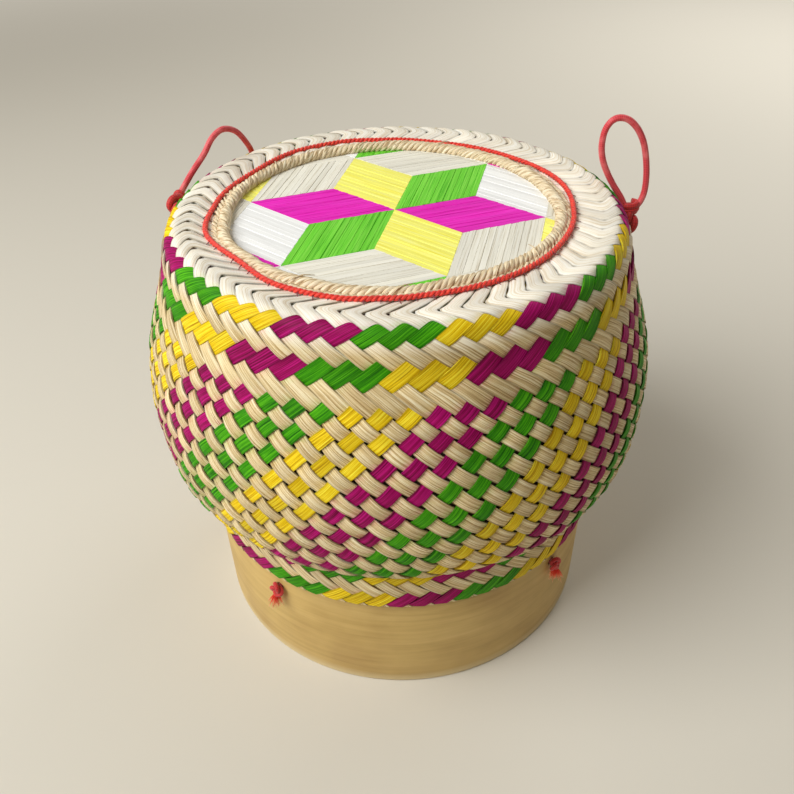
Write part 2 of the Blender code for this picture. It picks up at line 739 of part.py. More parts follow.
def build():
    reset_scene()
    parts = new_collection("sticky_rice_basket")
    cutters = new_collection("cutters")

    peg_angle = make_foot_ring(parts, cutters)
    make_lap_pegs(parts, peg_angle)
    make_body_outer_wall(parts)
    make_body_lining(parts)
    make_body_binding(parts)

    make_lid_outer_wall(parts)
    make_lid_lining(parts)
    hoop_half = make_rim_hoop(parts)
    make_panel_backing(parts, hoop_half)
    make_rim_trim(parts)
    tiles = make_star_panel(parts, cutters)
    make_cords(parts)

    lid = pivot("lid_lift_guide", (0.0, 0.0, LID_MOUTH_HEIGHT), parts)
    mount(["lid_outer_wall", "lid_lining", "rim_core_hoop", "panel_backing", "rim_braid",
           "rim_cord", "panel_disc_cutter"] + tiles, lid)


build()
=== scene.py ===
import math

import bmesh
import bpy
from mathutils import Matrix, Vector
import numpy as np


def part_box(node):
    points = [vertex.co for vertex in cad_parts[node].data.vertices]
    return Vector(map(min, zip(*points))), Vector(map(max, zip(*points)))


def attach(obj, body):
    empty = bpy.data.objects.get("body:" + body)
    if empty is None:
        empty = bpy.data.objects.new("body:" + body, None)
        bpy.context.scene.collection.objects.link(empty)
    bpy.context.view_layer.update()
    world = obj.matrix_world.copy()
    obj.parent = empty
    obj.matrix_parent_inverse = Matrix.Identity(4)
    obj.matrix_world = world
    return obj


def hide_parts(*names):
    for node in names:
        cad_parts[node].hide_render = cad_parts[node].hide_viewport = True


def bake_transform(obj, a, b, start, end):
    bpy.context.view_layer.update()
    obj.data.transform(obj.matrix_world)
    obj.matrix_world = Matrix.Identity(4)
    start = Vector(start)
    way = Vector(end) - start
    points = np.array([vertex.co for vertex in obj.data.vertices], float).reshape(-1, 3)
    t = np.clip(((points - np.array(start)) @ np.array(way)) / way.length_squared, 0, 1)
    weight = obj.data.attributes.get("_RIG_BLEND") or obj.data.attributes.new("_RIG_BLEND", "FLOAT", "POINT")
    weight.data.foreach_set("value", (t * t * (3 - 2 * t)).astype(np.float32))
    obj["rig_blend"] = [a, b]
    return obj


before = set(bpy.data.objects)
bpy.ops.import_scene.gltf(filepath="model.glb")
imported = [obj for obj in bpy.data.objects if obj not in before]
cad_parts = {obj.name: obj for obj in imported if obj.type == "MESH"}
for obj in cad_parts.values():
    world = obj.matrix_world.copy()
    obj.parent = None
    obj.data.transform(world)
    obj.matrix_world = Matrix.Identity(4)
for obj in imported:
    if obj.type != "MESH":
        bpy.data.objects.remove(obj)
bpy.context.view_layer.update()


def put_in_scene(name, data):
    thing = bpy.data.objects.new(name, data)
    bpy.context.scene.collection.objects.link(thing)
    return thing


# The camera stands in front of the basket and looks down on its lid, a hand's breadth
# above the rim, with the small tilt of a picture taken by hand.
eye = Vector((0.0, -0.20704, 0.22637))
aim = Vector((0.0, 0.0, 0.05199))
hand_tilt = -0.02
camera_data = bpy.data.cameras.new("photo_camera")
camera_data.lens = 36.27
camera_data.sensor_width = 36.0
camera_data.shift_x = -0.0041
camera_data.shift_y = 0.0414
camera_data.clip_start = 0.01
camera = put_in_scene("photo_camera", camera_data)
camera.location = eye
facing = (aim - eye).to_track_quat("-Z", "Y").to_matrix()
camera.rotation_euler = (facing @ Matrix.Rotation(hand_tilt, 3, "Z")).to_euler()
bpy.context.scene.camera = camera
bpy.context.scene.view_settings.view_transform = "Standard"

# Carrying cord: red braided cord, 1.8 mm thick. Each ear is one bight of it that comes out
# of a tight overhand knot at the lid's shoulder and goes back into it.
cord_thickness = 0.0018
cord_corners = 14
left_ear_route = [
    (-0.0645, 0.0204, 0.1272), (-0.0629, 0.0233, 0.1293), (-0.0606, 0.0264, 0.1322),
    (-0.0572, 0.0303, 0.1360), (-0.0549, 0.0329, 0.1394), (-0.0527, 0.0354, 0.1410),
    (-0.0507, 0.0378, 0.1408), (-0.0485, 0.0403, 0.1390), (-0.0468, 0.0426, 0.1356),
    (-0.0456, 0.0454, 0.1310), (-0.0464, 0.0477, 0.1270), (-0.0495, 0.0472, 0.1242),
    (-0.0545, 0.0420, 0.1228), (-0.0598, 0.0340, 0.1226), (-0.0634, 0.0272, 0.1230),
    (-0.0653, 0.0219, 0.1240)]
right_ear_route = [
    (0.0669, 0.0114, 0.1243), (0.0652, 0.0121, 0.1276), (0.0623, 0.0125, 0.1316),
    (0.0599, 0.0125, 0.1355), (0.0582, 0.0125, 0.1392), (0.0574, 0.0125, 0.1430),
    (0.0577, 0.0125, 0.1471), (0.0592, 0.0125, 0.1497), (0.0614, 0.0125, 0.1505),
    (0.0641, 0.0125, 0.1497), (0.0669, 0.0125, 0.1470), (0.0693, 0.0125, 0.1426),
    (0.0710, 0.0124, 0.1362), (0.0716, 0.0123, 0.1305), (0.0710, 0.0121, 0.1270),
    (0.0694, 0.0119, 0.1244)]
ear_knot_places = {"left": Vector((-0.065254, 0.018711, 0.1245)),
                   "right": Vector((0.068122, 0.011522, 0.1210))}
ear_knot_angles = {"left": 164.0, "right": 9.6}


def round_the_axis(radius, degrees, height):
    turn = math.radians(degrees)
    return Vector((radius * math.cos(turn), radius * math.sin(turn), height))


def smooth_line(stations, per_span):
    """A smooth line through the stations, with so many steps from each to the next."""
    points = [Vector(station) for station in stations]
    ends = [2 * points[0] - points[1]] + points + [2 * points[-1] - points[-2]]
    line = [points[0]]
    for before, start, stop, after in zip(ends, ends[1:], ends[2:], ends[3:]):
        for step in range(1, per_span + 1):
            t = step / per_span
            line.append(0.5 * (2 * start + (stop - before) * t
                               + (2 * before - 5 * start + 4 * stop - after) * t * t
                               + (3 * start - before - 3 * stop + after) * t ** 3))
    return line


def even_line(line, spacing):
    """The same line with its points a like distance apart."""
    reach = [0.0]
    for start, stop in zip(line, line[1:]):
        reach.append(reach[-1] + (stop - start).length)
    count = max(2, round(reach[-1] / spacing))
    even, at = [], 0
    for step in range(count + 1):
        wanted = reach[-1] * step / count
        while at < len(line) - 2 and reach[at + 1] < wanted:
            at += 1
        share = (wanted - reach[at]) / max(reach[at + 1] - reach[at], 1e-9)
        even.append(line[at].lerp(line[at + 1], share))
    return even


def tube(builder, line, radii, corners, closed=False):
    """Adds one round strand along a line. Its UV runs round it and along it, in
    thicknesses."""
    uv = builder.loops.layers.uv.verify()
    count = len(line)
    side = None
    rings, lengths, along = [], [], 0.0
    for index, place in enumerate(line):
        before = line[index - 1] if closed or index else line[0]
        after = line[(index + 1) % count] if closed or index + 1 < count else line[-1]
        run = (after - before).normalized()
        if side is None:
            side = run.orthogonal().normalized()
        side = (side - run * side.dot(run)).normalized()
        other = run.cross(side)
        radius = radii[index] if isinstance(radii, list) else radii
        turns = [math.tau * corner / corners for corner in range(corners)]
        rings.append([builder.verts.new(place + (side * math.cos(turn) + other * math.sin(turn)) * radius)
                      for turn in turns])
        lengths.append(along)
        along += (after - place).length
    thickness = 2 * (radii[0] if isinstance(radii, list) else radii)
    joins = [(low, low + 1, 0, lengths[low + 1]) for low in range(count - 1)]
    if closed:
        gaps = [(rings[-1][0].co - vert.co).length for vert in rings[0]]
        joins.append((count - 1, 0, gaps.index(min(gaps)), along))
    for low, high, shift, top in joins:
        for c in range(corners):
            d = (c + 1) % corners
            face = builder.faces.new((rings[low][c], rings[low][d], rings[high][(d + shift) % corners],
                                      rings[high][(c + shift) % corners]))
            face.smooth = True
            spots = ((c, lengths[low]), (c + 1, lengths[low]), (c + 1, top), (c, top))
            for loop, (across, length) in zip(face.loops, spots):
                loop[uv].uv = (across / corners, length / thickness)
    if not closed:
        builder.faces.new(rings[0][::-1])
        builder.faces.new(rings[-1])


def finished(name, builder, *finishes):
    """Turns the builder's mesh into a piece."""
    mesh = bpy.data.meshes.new(name)
    builder.normal_update()
    builder.to_mesh(mesh)
    builder.free()
    for finish in finishes:
        mesh.materials.append(finish)
    return put_in_scene(name, mesh)


def feed(tree, node, **inputs):
    """Puts numbers, colours and other nodes' outputs into a node's inputs."""
    for key, value in inputs.items():
        socket = node.inputs[int(key[1:]) if key[1:].isdigit() else key.replace("_", " ")]
        if isinstance(value, bpy.types.NodeSocket):
            tree.links.new(value, socket)
        else:
            socket.default_value = value


def wired(tree, kind, settings=(), out=0, **inputs):
    """Adds one node with its settings and inputs, and gives one of its outputs."""
    node = tree.nodes.new(kind)
    for key, value in dict(settings).items():
        setattr(node, key, value)
    feed(tree, node, **inputs)
    return node.outputs[out]


def maths(tree, operation, *values):
    numbered = {f"i{index}": value for index, value in enumerate(values)}
    return wired(tree, "ShaderNodeMath", {"operation": operation}, **numbered)


def parts_of(tree, vector):
    return wired(tree, "ShaderNodeSeparateXYZ", i0=vector).node.outputs


def joined(tree, x, y, z):
    return wired(tree, "ShaderNodeCombineXYZ", X=x, Y=y, Z=z)


def own_uv(tree):
    return wired(tree, "ShaderNodeUVMap")


def object_place(tree):
    return wired(tree, "ShaderNodeTexCoord", out="Object")


def noise(tree, place, scale, detail, roughness=0.5, distortion=0.0):
    return wired(tree, "ShaderNodeTexNoise", Vector=place, Scale=scale, Detail=detail,
                 Roughness=roughness, Distortion=distortion)


def mixed(tree, share, first, second, way="MIX"):
    settings = {"data_type": "RGBA", "blend_type": way}
    return wired(tree, "ShaderNodeMix", settings, 2, i0=share, i6=first, i7=second)


def steps_of_colour(tree, value, *stops):
    ramp = wired(tree, "ShaderNodeValToRGB", Fac=value)
    elements = ramp.node.color_ramp.elements
    while len(elements) < len(stops):
        elements.new(0.5)
    for element, (place, colour) in zip(elements, stops):
        element.position = place
        element.color = (*colour, 1.0)
    return ramp


def blank_finish(name):
    material = bpy.data.materials.new(name)
    material.use_nodes = True
    tree = material.node_tree
    for node in list(tree.nodes):
        tree.nodes.remove(node)
    shader = tree.nodes.new("ShaderNodeBsdfPrincipled")
    output = tree.nodes.new("ShaderNodeOutputMaterial")
    tree.links.new(shader.outputs[0], output.inputs[0])
    return material, tree, shader


def surface(tree, shader, relief, strength, depth, **values):
    """Sets the shader's colour and gloss, over a fine relief."""
    bump = wired(tree, "ShaderNodeBump", Height=relief, Strength=strength, Distance=depth)
    feed(tree, shader, Normal=bump, **values)


def braided_cord_finish(name, deep, bright, worn):
    """Braided red cord: fine yarns that cross in small diamonds, paler where they rub."""
    material, tree, shader = blank_finish(name)
    across, along, _ = parts_of(tree, own_uv(tree))
    round_it = maths(tree, "MULTIPLY", across, 8 * math.pi)
    along_it = maths(tree, "MULTIPLY", along, 11.0)
    one_way = maths(tree, "SINE", maths(tree, "ADD", round_it, along_it))
    other_way = maths(tree, "SINE", maths(tree, "SUBTRACT", round_it, along_it))
    yarns = maths(tree, "MULTIPLY_ADD", maths(tree, "MULTIPLY", one_way, other_way), 0.5, 0.5)
    dyed = steps_of_colour(tree, yarns, (0.05, deep), (0.75, bright))
    patches = noise(tree, object_place(tree), 260.0, 3.0)
    rubbed = steps_of_colour(tree, patches, (0.45, (0, 0, 0)), (0.75, (1, 1, 1)))
    surface(tree, shader, yarns, 0.45, 0.0001, Base_Color=mixed(tree, rubbed, dyed, (*worn, 1.0)),
            Roughness=0.62, Sheen_Weight=0.25, Sheen_Roughness=0.5)
    return material


ear_cord_finish = braided_cord_finish(
    "ear_cord_red", (0.46, 0.020, 0.030), (0.74, 0.055, 0.070), (0.84, 0.20, 0.20))
side_cord_finish = braided_cord_finish(
    "side_cord_red", (0.28, 0.004, 0.005), (0.60, 0.012, 0.012), (0.70, 0.06, 0.05))
knot_points, knot_corners = 96, 12
wrap_turns, wrap_thinner, wrap_starts_below = 2.25, 0.0001, 0.0009
wrap_clear_of_legs, wrap_half_narrow, wrap_rise_per_turn = 0.0006, 0.0011, 0.00135


def tied_knot(name, centre, degrees, across, up, out, strand, neck_wrap=()):
    """A tight overhand knot of one strand, flat against what is behind it. Where it is an
    ear's knot, its neck is wrapped."""
    outward = round_the_axis(1.0, degrees, 0.0)
    sideways = Vector((-outward.y, outward.x, 0.0))
    line = []
    for index in range(knot_points):
        turn = math.tau * index / knot_points
        reach = 2.0 + math.cos(3 * turn)
        line.append(centre + sideways * (reach * math.sin(2 * turn) * across)
                    + Vector((0, 0, 1)) * (reach * math.cos(2 * turn) * up)
                    + outward * (math.sin(3 * turn) * out))
    builder = bmesh.new()
    tube(builder, line, strand / 2, knot_corners, closed=True)
    if neck_wrap:
        tube(builder, neck_wrap, strand / 2 - wrap_thinner, knot_corners)
    return finished(name, builder, side_cord_finish)


def wrapped_neck(knot_place, first_end, last_end):
    """Some turns of cord round both legs of an ear where they leave its knot."""
    middle = (first_end + last_end) / 2
    neck = (middle - knot_place).normalized()
    wide = last_end - first_end
    wide = wide - neck * wide.dot(neck)
    half_wide = wide.length / 2 + wrap_clear_of_legs
    wide.normalize()
    narrow = neck.cross(wide)
    points_per_turn = 20
    line = []
    for index in range(int(wrap_turns * points_per_turn)):
        turn = math.tau * index / points_per_turn
        line.append(middle + wide * (math.cos(turn) * half_wide)
                    + narrow * (math.sin(turn) * wrap_half_narrow)
                    + neck * (wrap_rise_per_turn * index / points_per_turn - wrap_starts_below))
    return line


def cord_along(name, stations, per_span, spacing, finish):
    """A cord on a smooth line through its stations. Its rings lie so many thicknesses apart."""
    line = even_line(smooth_line(stations, per_span), cord_thickness * spacing)
    builder = bmesh.new()
    tube(builder, line, cord_thickness / 2, cord_corners)
    return finished(name, builder, finish), line


ear_knots = {}
for side, route in (("left", left_ear_route), ("right", right_ear_route)):
    wrap = wrapped_neck(ear_knot_places[side], Vector(route[0]), Vector(route[-1]))
    ear_knots[side] = tied_knot(f"{side}_ear_tied_knot", ear_knot_places[side], ear_knot_angles[side],
                                across=0.00112, up=0.00106, out=0.00100, strand=0.0020, neck_wrap=wrap)
    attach(ear_knots[side], f"{side}_loop")
    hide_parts(f"{side}_ear_knot")
    ear, ear_line = cord_along(f"{side}_ear_bight", route, 12, 0.4, ear_cord_finish)
    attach(ear, f"{side}_loop")
    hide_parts(f"{side}_ear_loop")

# Side cords: the same cord goes up the belly in a pair on each side, from the knot at the
# foot to the ear's knot. It lies on the weave all the way, so the lid can slide on it.
pair_spread = 0.0024
foot_hole_height = 0.0335
knot_half_height, knot_clearance = 0.00275, 0.0005
back_hole_angles = {"left": 143.0, "right": 37.0}
front_hole_angles = {"left": 233.5, "right": -43.0}
climb = [(0.0655, 0.0370, 0.00), (0.0667, 0.0430, 0.03), (0.0683, 0.0490, 0.08),
         (0.0722, 0.0580, 0.17), (0.0750, 0.0640, 0.26), (0.0759, 0.0690, 0.35),
         (0.0764, 0.0760, 0.47), (0.0764, 0.0840, 0.60), (0.0756, 0.0920, 0.73),
         (0.0738, 0.1000, 0.84), (0.0713, 0.1070, 0.92), (0.0692, 0.1130, 0.97)]
for side in ("left", "right"):
    knot_place = ear_knot_places[side]
    top = (math.hypot(knot_place.x, knot_place.y), knot_place.z - knot_half_height - knot_clearance, 1.0)
    foot_angle, knot_angle = back_hole_angles[side], ear_knot_angles[side]
    for number, half in ((1, -0.5), (2, 0.5)):
        stations = []
        for radius, height, share in climb + [top]:
            degrees = foot_angle + (knot_angle - foot_angle) * share
            degrees += math.degrees(half * pair_spread / radius)
            stations.append(round_the_axis(radius, degrees, height))
        climbing, climb_line = cord_along(f"{side}_climbing_cord_{number}", stations, 8, 0.5,
                                          side_cord_finish)
        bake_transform(climbing, "basket", "lid", start=(0, 0, 0.037), end=(0, 0, 0.118))
        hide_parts(f"{side}_side_cord_{number}")

# Foot cords: under the floor each cord crosses from the front hole to the back one and is
# stopped outside by an overhand knot, whose end is left to fray.
foot_outside, foot_inside = 0.0630, 0.0585


def new_tree(name, **inputs):
    """An empty tree with named inputs for its sizes."""
    tree = bpy.data.node_groups.new(name, "GeometryNodeTree")
    tree.interface.new_socket("Geometry", in_out="OUTPUT", socket_type="NodeSocketGeometry")
    tree.interface.new_socket("Geometry", in_out="INPUT", socket_type="NodeSocketGeometry")
    for key, kind in inputs.items():
        tree.interface.new_socket(key.replace("_", " "), in_out="INPUT", socket_type=f"NodeSocket{kind}")
    return tree, tree.nodes.new("NodeGroupInput").outputs


def end_tree(tree, geometry, finish, offset=None):
    """The tree's last nodes: what it laid becomes plain faces, is moved where that is asked
    for, and gets its finish."""
    geometry = wired(tree, "GeometryNodeRealizeInstances", Geometry=geometry)
    if offset is not None:
        geometry = wired(tree, "GeometryNodeSetPosition", Geometry=geometry, Offset=offset)
    dyed = wired(tree, "GeometryNodeSetMaterial", Geometry=geometry, Material=finish)
    tree.links.new(dyed, tree.nodes.new("NodeGroupOutput").inputs[0])


def random_number(tree, low, high, seed):
    return wired(tree, "FunctionNodeRandomValue", {"data_type": "FLOAT"}, 1, i2=low, i3=high, Seed=seed)


def frayed_end_tree():
    """Fine fibres that spread from one spot, each a little longer or shorter."""
    tree, given = new_tree("frayed_end", Fibre="Object", Fibres="Int", Spread="Float", Seed="Int",
                           Finish="Material")
    row = wired(tree, "GeometryNodeMeshLine", Count=given["Fibres"], Offset=(0, 0, 0))
    fibre = wired(tree, "GeometryNodeObjectInfo", out="Geometry", Object=given["Fibre"])
    spread = given["Spread"]
    less = maths(tree, "MULTIPLY", spread, -1.0)
    lean = wired(tree, "FunctionNodeRandomValue", {"data_type": "FLOAT_VECTOR"}, Seed=given["Seed"],
                 i0=joined(tree, less, less, 0.0), i1=joined(tree, spread, spread, math.tau))
    laid = wired(tree, "GeometryNodeInstanceOnPoints", Points=row, Instance=fibre, Rotation=lean,
                 Scale=random_number(tree, 0.55, 1.0, given["Seed"]))
    end_tree(tree, laid, given["Finish"])
    return tree


def grown(name, tree, **settings):
    """Runs a tree on an empty carrier and keeps what it makes as a plain mesh."""
    carrier = put_in_scene(name + "_carrier", bpy.data.meshes.new(name + "_carrier"))
    modifier = carrier.modifiers.new("made", "NODES")
    modifier.node_group = tree
    sockets = {item.name: item.identifier for item in tree.interface.items_tree
               if item.item_type == "SOCKET" and item.in_out == "INPUT"}
    for key, value in settings.items():
        modifier[sockets[key.replace("_", " ")]] = value
    bpy.context.view_layer.update()
    depsgraph = bpy.context.evaluated_depsgraph_get()
    mesh = bpy.data.meshes.new_from_object(carrier.evaluated_get(depsgraph), depsgraph=depsgraph)
    mesh.name = name
    bpy.data.objects.remove(carrier, do_unlink=True)
    return put_in_scene(name, mesh)


def fray_finish():
    """Red yarn that is worn paler towards its tip."""
    material, tree, shader = blank_finish("frayed_red_yarn")
    thicknesses_long = 28.0
    share = maths(tree, "DIVIDE", parts_of(tree, own_uv(tree))[1], thicknesses_long)
    colour = steps_of_colour(tree, share, (0.0, (0.66, 0.010, 0.006)), (0.5, (0.86, 0.045, 0.02)),
                             (0.8, (0.94, 0.22, 0.10)), (1.0, (0.96, 0.62, 0.42)))
    feed(tree, shader, Base_Color=colour, Roughness=0.7)
    return material


frayed_finish = fray_finish()
fibre_length = 0.0060
builder = bmesh.new()
tube(builder, [Vector((0.00025 * math.sin(2.4 * t), 0.00030 * t * t, -fibre_length * t))
               for t in (0.0, 0.25, 0.5, 0.75, 1.0)],
     [0.00011, 0.00011, 0.00010, 0.00009, 0.00005], 4)
fibre = finished("one_fibre", builder, frayed_finish)
frayed_tree = frayed_end_tree()
knot_stands_at, tuft_starts_at = 0.0647, 0.0650
tuft_droop, tuft_tilt = 0.0006, -0.16

for side, seed in (("left", 3), ("right", 8)):
    start_angle, end_angle = front_hole_angles[side], back_hole_angles[side]
    start, end = (round_the_axis(foot_inside - 2 * cord_thickness, angle, foot_hole_height)
                  for angle in (start_angle, end_angle))
    middle = start.lerp(end, 0.5)
    stations = [round_the_axis(foot_outside, start_angle, foot_hole_height),
                round_the_axis(foot_inside, start_angle, foot_hole_height), start,
                start.lerp(middle, 0.4), middle, end.lerp(middle, 0.4), end,
                round_the_axis(foot_inside, end_angle, foot_hole_height),
                round_the_axis(foot_outside, end_angle, foot_hole_height)]
    under, under_line = cord_along(f"{side}_under_floor_cord", stations, 8, 0.5, side_cord_finish)
    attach(under, "basket")
    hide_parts(f"{side}_foot_cord")
    foot_knots = []
    for end_name, degrees in (("front", start_angle), ("back", end_angle)):
        centre = round_the_axis(knot_stands_at, degrees, foot_hole_height)
        knot = tied_knot(f"{side}_{end_name}_stopper_knot", centre, degrees,
                         across=0.00062, up=0.00070, out=0.00062, strand=0.0013)
        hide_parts(f"{side}_{end_name}_foot_knot")
        tuft = grown(f"{side}_{end_name}_frayed_end", frayed_tree, Fibre=fibre, Fibres=90,
                     Spread=0.46, Seed=seed, Finish=frayed_finish)
        hang = Matrix.Translation(round_the_axis(tuft_starts_at, degrees, foot_hole_height - tuft_droop))
        face_out = Matrix.Rotation(math.radians(degrees + 90.0), 4, "Z")
        tuft.data.transform(hang @ face_out @ Matrix.Rotation(tuft_tilt, 4, "X"))
        for piece in (knot, tuft):
            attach(piece, "basket")
        foot_knots += [knot, tuft]
bpy.data.objects.remove(fibre, do_unlink=True)

# Foot: one hoop of pale wood, steamed and bent, its two ends thinned to a long scarf lap at
# the back. The grain runs round the hoop, and handling has darkened it unevenly.
hoop_height = 0.0440
hoop_round = 0.0009
lap_start, lap_length, lap_tip = 76.0, 0.0300, 0.0007


def mapped(tree, value, low, high, first=0.0, last=1.0):
    """Takes first to last over to low to high, and holds it there beyond them."""
    return wired(tree, "ShaderNodeMapRange", Value=value, From_Min=first, From_Max=last, To_Min=low,
                 To_Max=high)


def bent_wood_finish():
    """Pale wood with its grain round the hoop, stained by hands and rubbed at its low edge."""
    material, tree, shader = blank_finish("bent_foot_wood")
    place = object_place(tree)
    turned = wired(tree, "ShaderNodeMapping", Vector=place, Rotation=(0, 0, math.radians(90.0)))
    x, y, height = parts_of(tree, turned)
    run = maths(tree, "MULTIPLY", maths(tree, "ARCTAN2", y, x), 1.4)
    grain = noise(tree, joined(tree, run, 0.0, maths(tree, "MULTIPLY", height, 420.0)), 1.0, 6.0, 0.6, 0.3)
    wood = steps_of_colour(tree, grain, (0.28, (0.52, 0.34, 0.10)), (0.52, (0.61, 0.415, 0.135)),
                           (0.78, (0.68, 0.48, 0.18)))
    stain = noise(tree, place, 38.0, 3.0, 0.6)
    tone = steps_of_colour(tree, stain, (0.36, (0.72, 0.64, 0.52)), (0.60, (1, 1, 1)))
    stained = mixed(tree, 0.6, wood, tone, "MULTIPLY")
    rubbed = mapped(tree, height, 0.75, 0.0, 0.0012, 0.0042)
    surface(tree, shader, grain, 0.18, 0.0003, Roughness=mapped(tree, stain, 0.42, 0.62),
            Base_Color=mixed(tree, rubbed, stained, (0.74, 0.60, 0.34, 1.0)))
    return material


foot_finish = bent_wood_finish()
lap_turn = math.degrees(lap_length / foot_outside)
sections = 300
wall, lap_gap = foot_outside - foot_inside, 0.0003
builder = bmesh.new()
rings = []
for index in range(sections + 1):
    degrees = lap_start + index / sections * (360.0 + lap_turn)
    inner, outer = foot_inside, foot_outside
    first_end, last_end = (degrees - lap_start) / lap_turn, (degrees - lap_start - 360.0) / lap_turn
    if first_end < 1:
        outer = foot_inside + lap_tip + (wall - 2 * lap_tip) * first_end - lap_gap / 2
    if last_end > 0:
        inner = foot_inside + lap_tip + (wall - 2 * lap_tip) * last_end + lap_gap / 2
    cut = min(hoop_round, (outer - inner) * 0.4)
    corner = []
    for middle_r, middle_z, begin in ((outer - cut, cut, -90), (outer - cut, hoop_height - cut, 0),
                                      (inner + cut, hoop_height - cut, 90), (inner + cut, cut, 180)):
        for quarter in (0, 30, 60, 90):
            bend = math.radians(begin + quarter)
            corner.append((middle_r + cut * math.cos(bend), middle_z + cut * math.sin(bend)))
    rings.append([builder.verts.new(round_the_axis(radius, degrees, height))
                  for radius, height in corner])
for low, high in zip(rings, rings[1:]):
    for c in range(len(low)):
        d = (c + 1) % len(low)
        builder.faces.new((low[c], high[c], high[d], low[d])).smooth = True
builder.faces.new(rings[0])
builder.faces.new(rings[-1][::-1])
bmesh.ops.recalc_face_normals(builder, faces=builder.faces)
hoop = finished("bent_foot_hoop", builder, foot_finish)
hole_cutters = []
hole_radius, cutter_length, wall_middle = 0.0014, 0.012, 0.0610
holes = [(degrees, foot_hole_height)
         for degrees in (*front_hole_angles.values(), *back_hole_angles.values())]
holes += [(lap_start + lap_turn / 2, hoop_height * (row + 0.5) / 3) for row in range(3)]
for degrees, height in holes:
    bpy.ops.mesh.primitive_cylinder_add(vertices=24, radius=hole_radius, depth=cutter_length)
    cutter = bpy.context.object
    cutter.rotation_euler = (0.0, math.pi / 2, math.radians(degrees))
    cutter.location = round_the_axis(wall_middle, degrees, height)
    hole = hoop.modifiers.new("cord_hole", "BOOLEAN")
    hole.object = cutter
    hole_cutters.append(cutter)
bpy.context.view_layer.update()
depsgraph = bpy.context.evaluated_depsgraph_get()
drilled = bpy.data.meshes.new_from_object(hoop.evaluated_get(depsgraph), depsgraph=depsgraph)
hoop.modifiers.clear()
hoop.data = drilled
hoop.data.set_sharp_from_angle(angle=math.radians(40))
for cutter in hole_cutters:
    bpy.data.objects.remove(cutter, do_unlink=True)
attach(hoop, "basket")
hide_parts("foot_ring")
for number in (1, 2, 3):
    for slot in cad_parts[f"foot_lap_peg_{number}"].material_slots:
        slot.material = foot_finish

# Body: a deep round cup woven from 63 split bamboo strips each way, the dyed ones in threes
# of green, yellow and magenta. At the foot the weave changes to over-two and ends in points.
strips_round = 63
strip_pitch = 360.0 / strips_round
strip_thickness = 0.00042
groups = ("green", "yellow", "magenta")
dyed_per_group = 3
repeat = dyed_per_group * len(groups)
dye_order_from = 901.0


def kept_number(tree, name):
    """A number that the mesh keeps at its points."""
    return wired(tree, "ShaderNodeAttribute", {"attribute_name": name}, "Fac")


def by_chance(tree, number):
    return wired(tree, "ShaderNodeTexWhiteNoise", {"noise_dimensions": "1D"}, W=number)


def scaled(tree, vector, factor):
    return wired(tree, "ShaderNodeVectorMath", {"operation": "SCALE"}, i0=vector, Scale=factor)


def uv_fibres(tree, first_scale, second_scale, shift=0.0, detail=3.0, roughness=0.5):
    """Fine fibres drawn out along the piece's own UV map."""
    first, second, _ = parts_of(tree, own_uv(tree))
    place = joined(tree, maths(tree, "MULTIPLY", first, first_scale),
                   maths(tree, "MULTIPLY", second, second_scale), shift)
    return noise(tree, place, 1.0, detail, roughness)


def bamboo_finish(name, deep, mid, pale, gloss, bleed=None):
    """Split bamboo: long straight fibres, darker towards the strip's long edges, each strip a
    little lighter or darker than the next. Dye creeps into the undyed strips, and on the
    lid's top ring they are painted whiter: painted light, for the top that the light falls on."""
    material, tree, shader = blank_finish(name)
    strip = kept_number(tree, "strip")
    shift = maths(tree, "MULTIPLY", strip, 3.71)
    fibres = uv_fibres(tree, 0.05, 2.3, shift, detail=4.0, roughness=0.65)
    colour = steps_of_colour(tree, fibres, (0.34, deep), (0.50, mid), (0.64, pale))
    if bleed:
        # Painted light: the undyed strips turn whiter towards the lid's top ring, where the light falls
        # brightest.
        painted_top_light = steps_of_colour(tree, fibres, (0.34, (0.70, 0.58, 0.40)), (0.50, (0.90, 0.84, 0.70)),
                                   (0.64, (0.96, 0.93, 0.84)))
        crest = mapped(tree, parts_of(tree, object_place(tree))[2], 0.0, 1.0, 0.1262, 0.1306)
        colour = mixed(tree, crest, colour, painted_top_light)
    along = maths(tree, "MULTIPLY", parts_of(tree, own_uv(tree))[0], 0.05)
    clouds = noise(tree, joined(tree, along, shift, 0.0), 3.0, 2.0)
    light = maths(tree, "MULTIPLY", mapped(tree, by_chance(tree, strip), 0.84, 1.10),
                  mapped(tree, clouds, 0.82, 1.16))
    # Each strip is drawn darker towards its long edges, down to 0.62 at the very edge.
    edge = mapped(tree, kept_number(tree, "edge"), 1.0, 0.62, 0.80, 1.0)
    colour = scaled(tree, scaled(tree, colour, light), edge)
    if bleed:
        nearest = maths(tree, "ROUND", kept_number(tree, "level"))
        crossed = maths(tree, "ADD", nearest, strip)
        turn = maths(tree, "FLOORED_MODULO", maths(tree, "ADD", crossed, dye_order_from), float(repeat))
        dye = steps_of_colour(tree, maths(tree, "DIVIDE", turn, float(repeat)), (0.0, bleed[0]),
                              (0.30, bleed[1]), (0.62, bleed[2]))
        dye.node.color_ramp.interpolation = "CONSTANT"
        luck = wired(tree, "ShaderNodeTexWhiteNoise", {"noise_dimensions": "3D"},
                     Vector=joined(tree, crossed, strip, nearest))
        where = mapped(tree, kept_number(tree, "rise"), 0.0, 0.55, 0.75, -0.1)
        colour = mixed(tree, maths(tree, "MULTIPLY", where, luck), colour, dye, "MULTIPLY")
    surface(tree, shader, fibres, 0.45, 0.00014, Base_Color=colour,
            Roughness=mapped(tree, fibres, gloss, gloss + 0.2), Specular_IOR_Level=0.26 if bleed else 0.13)
    return material


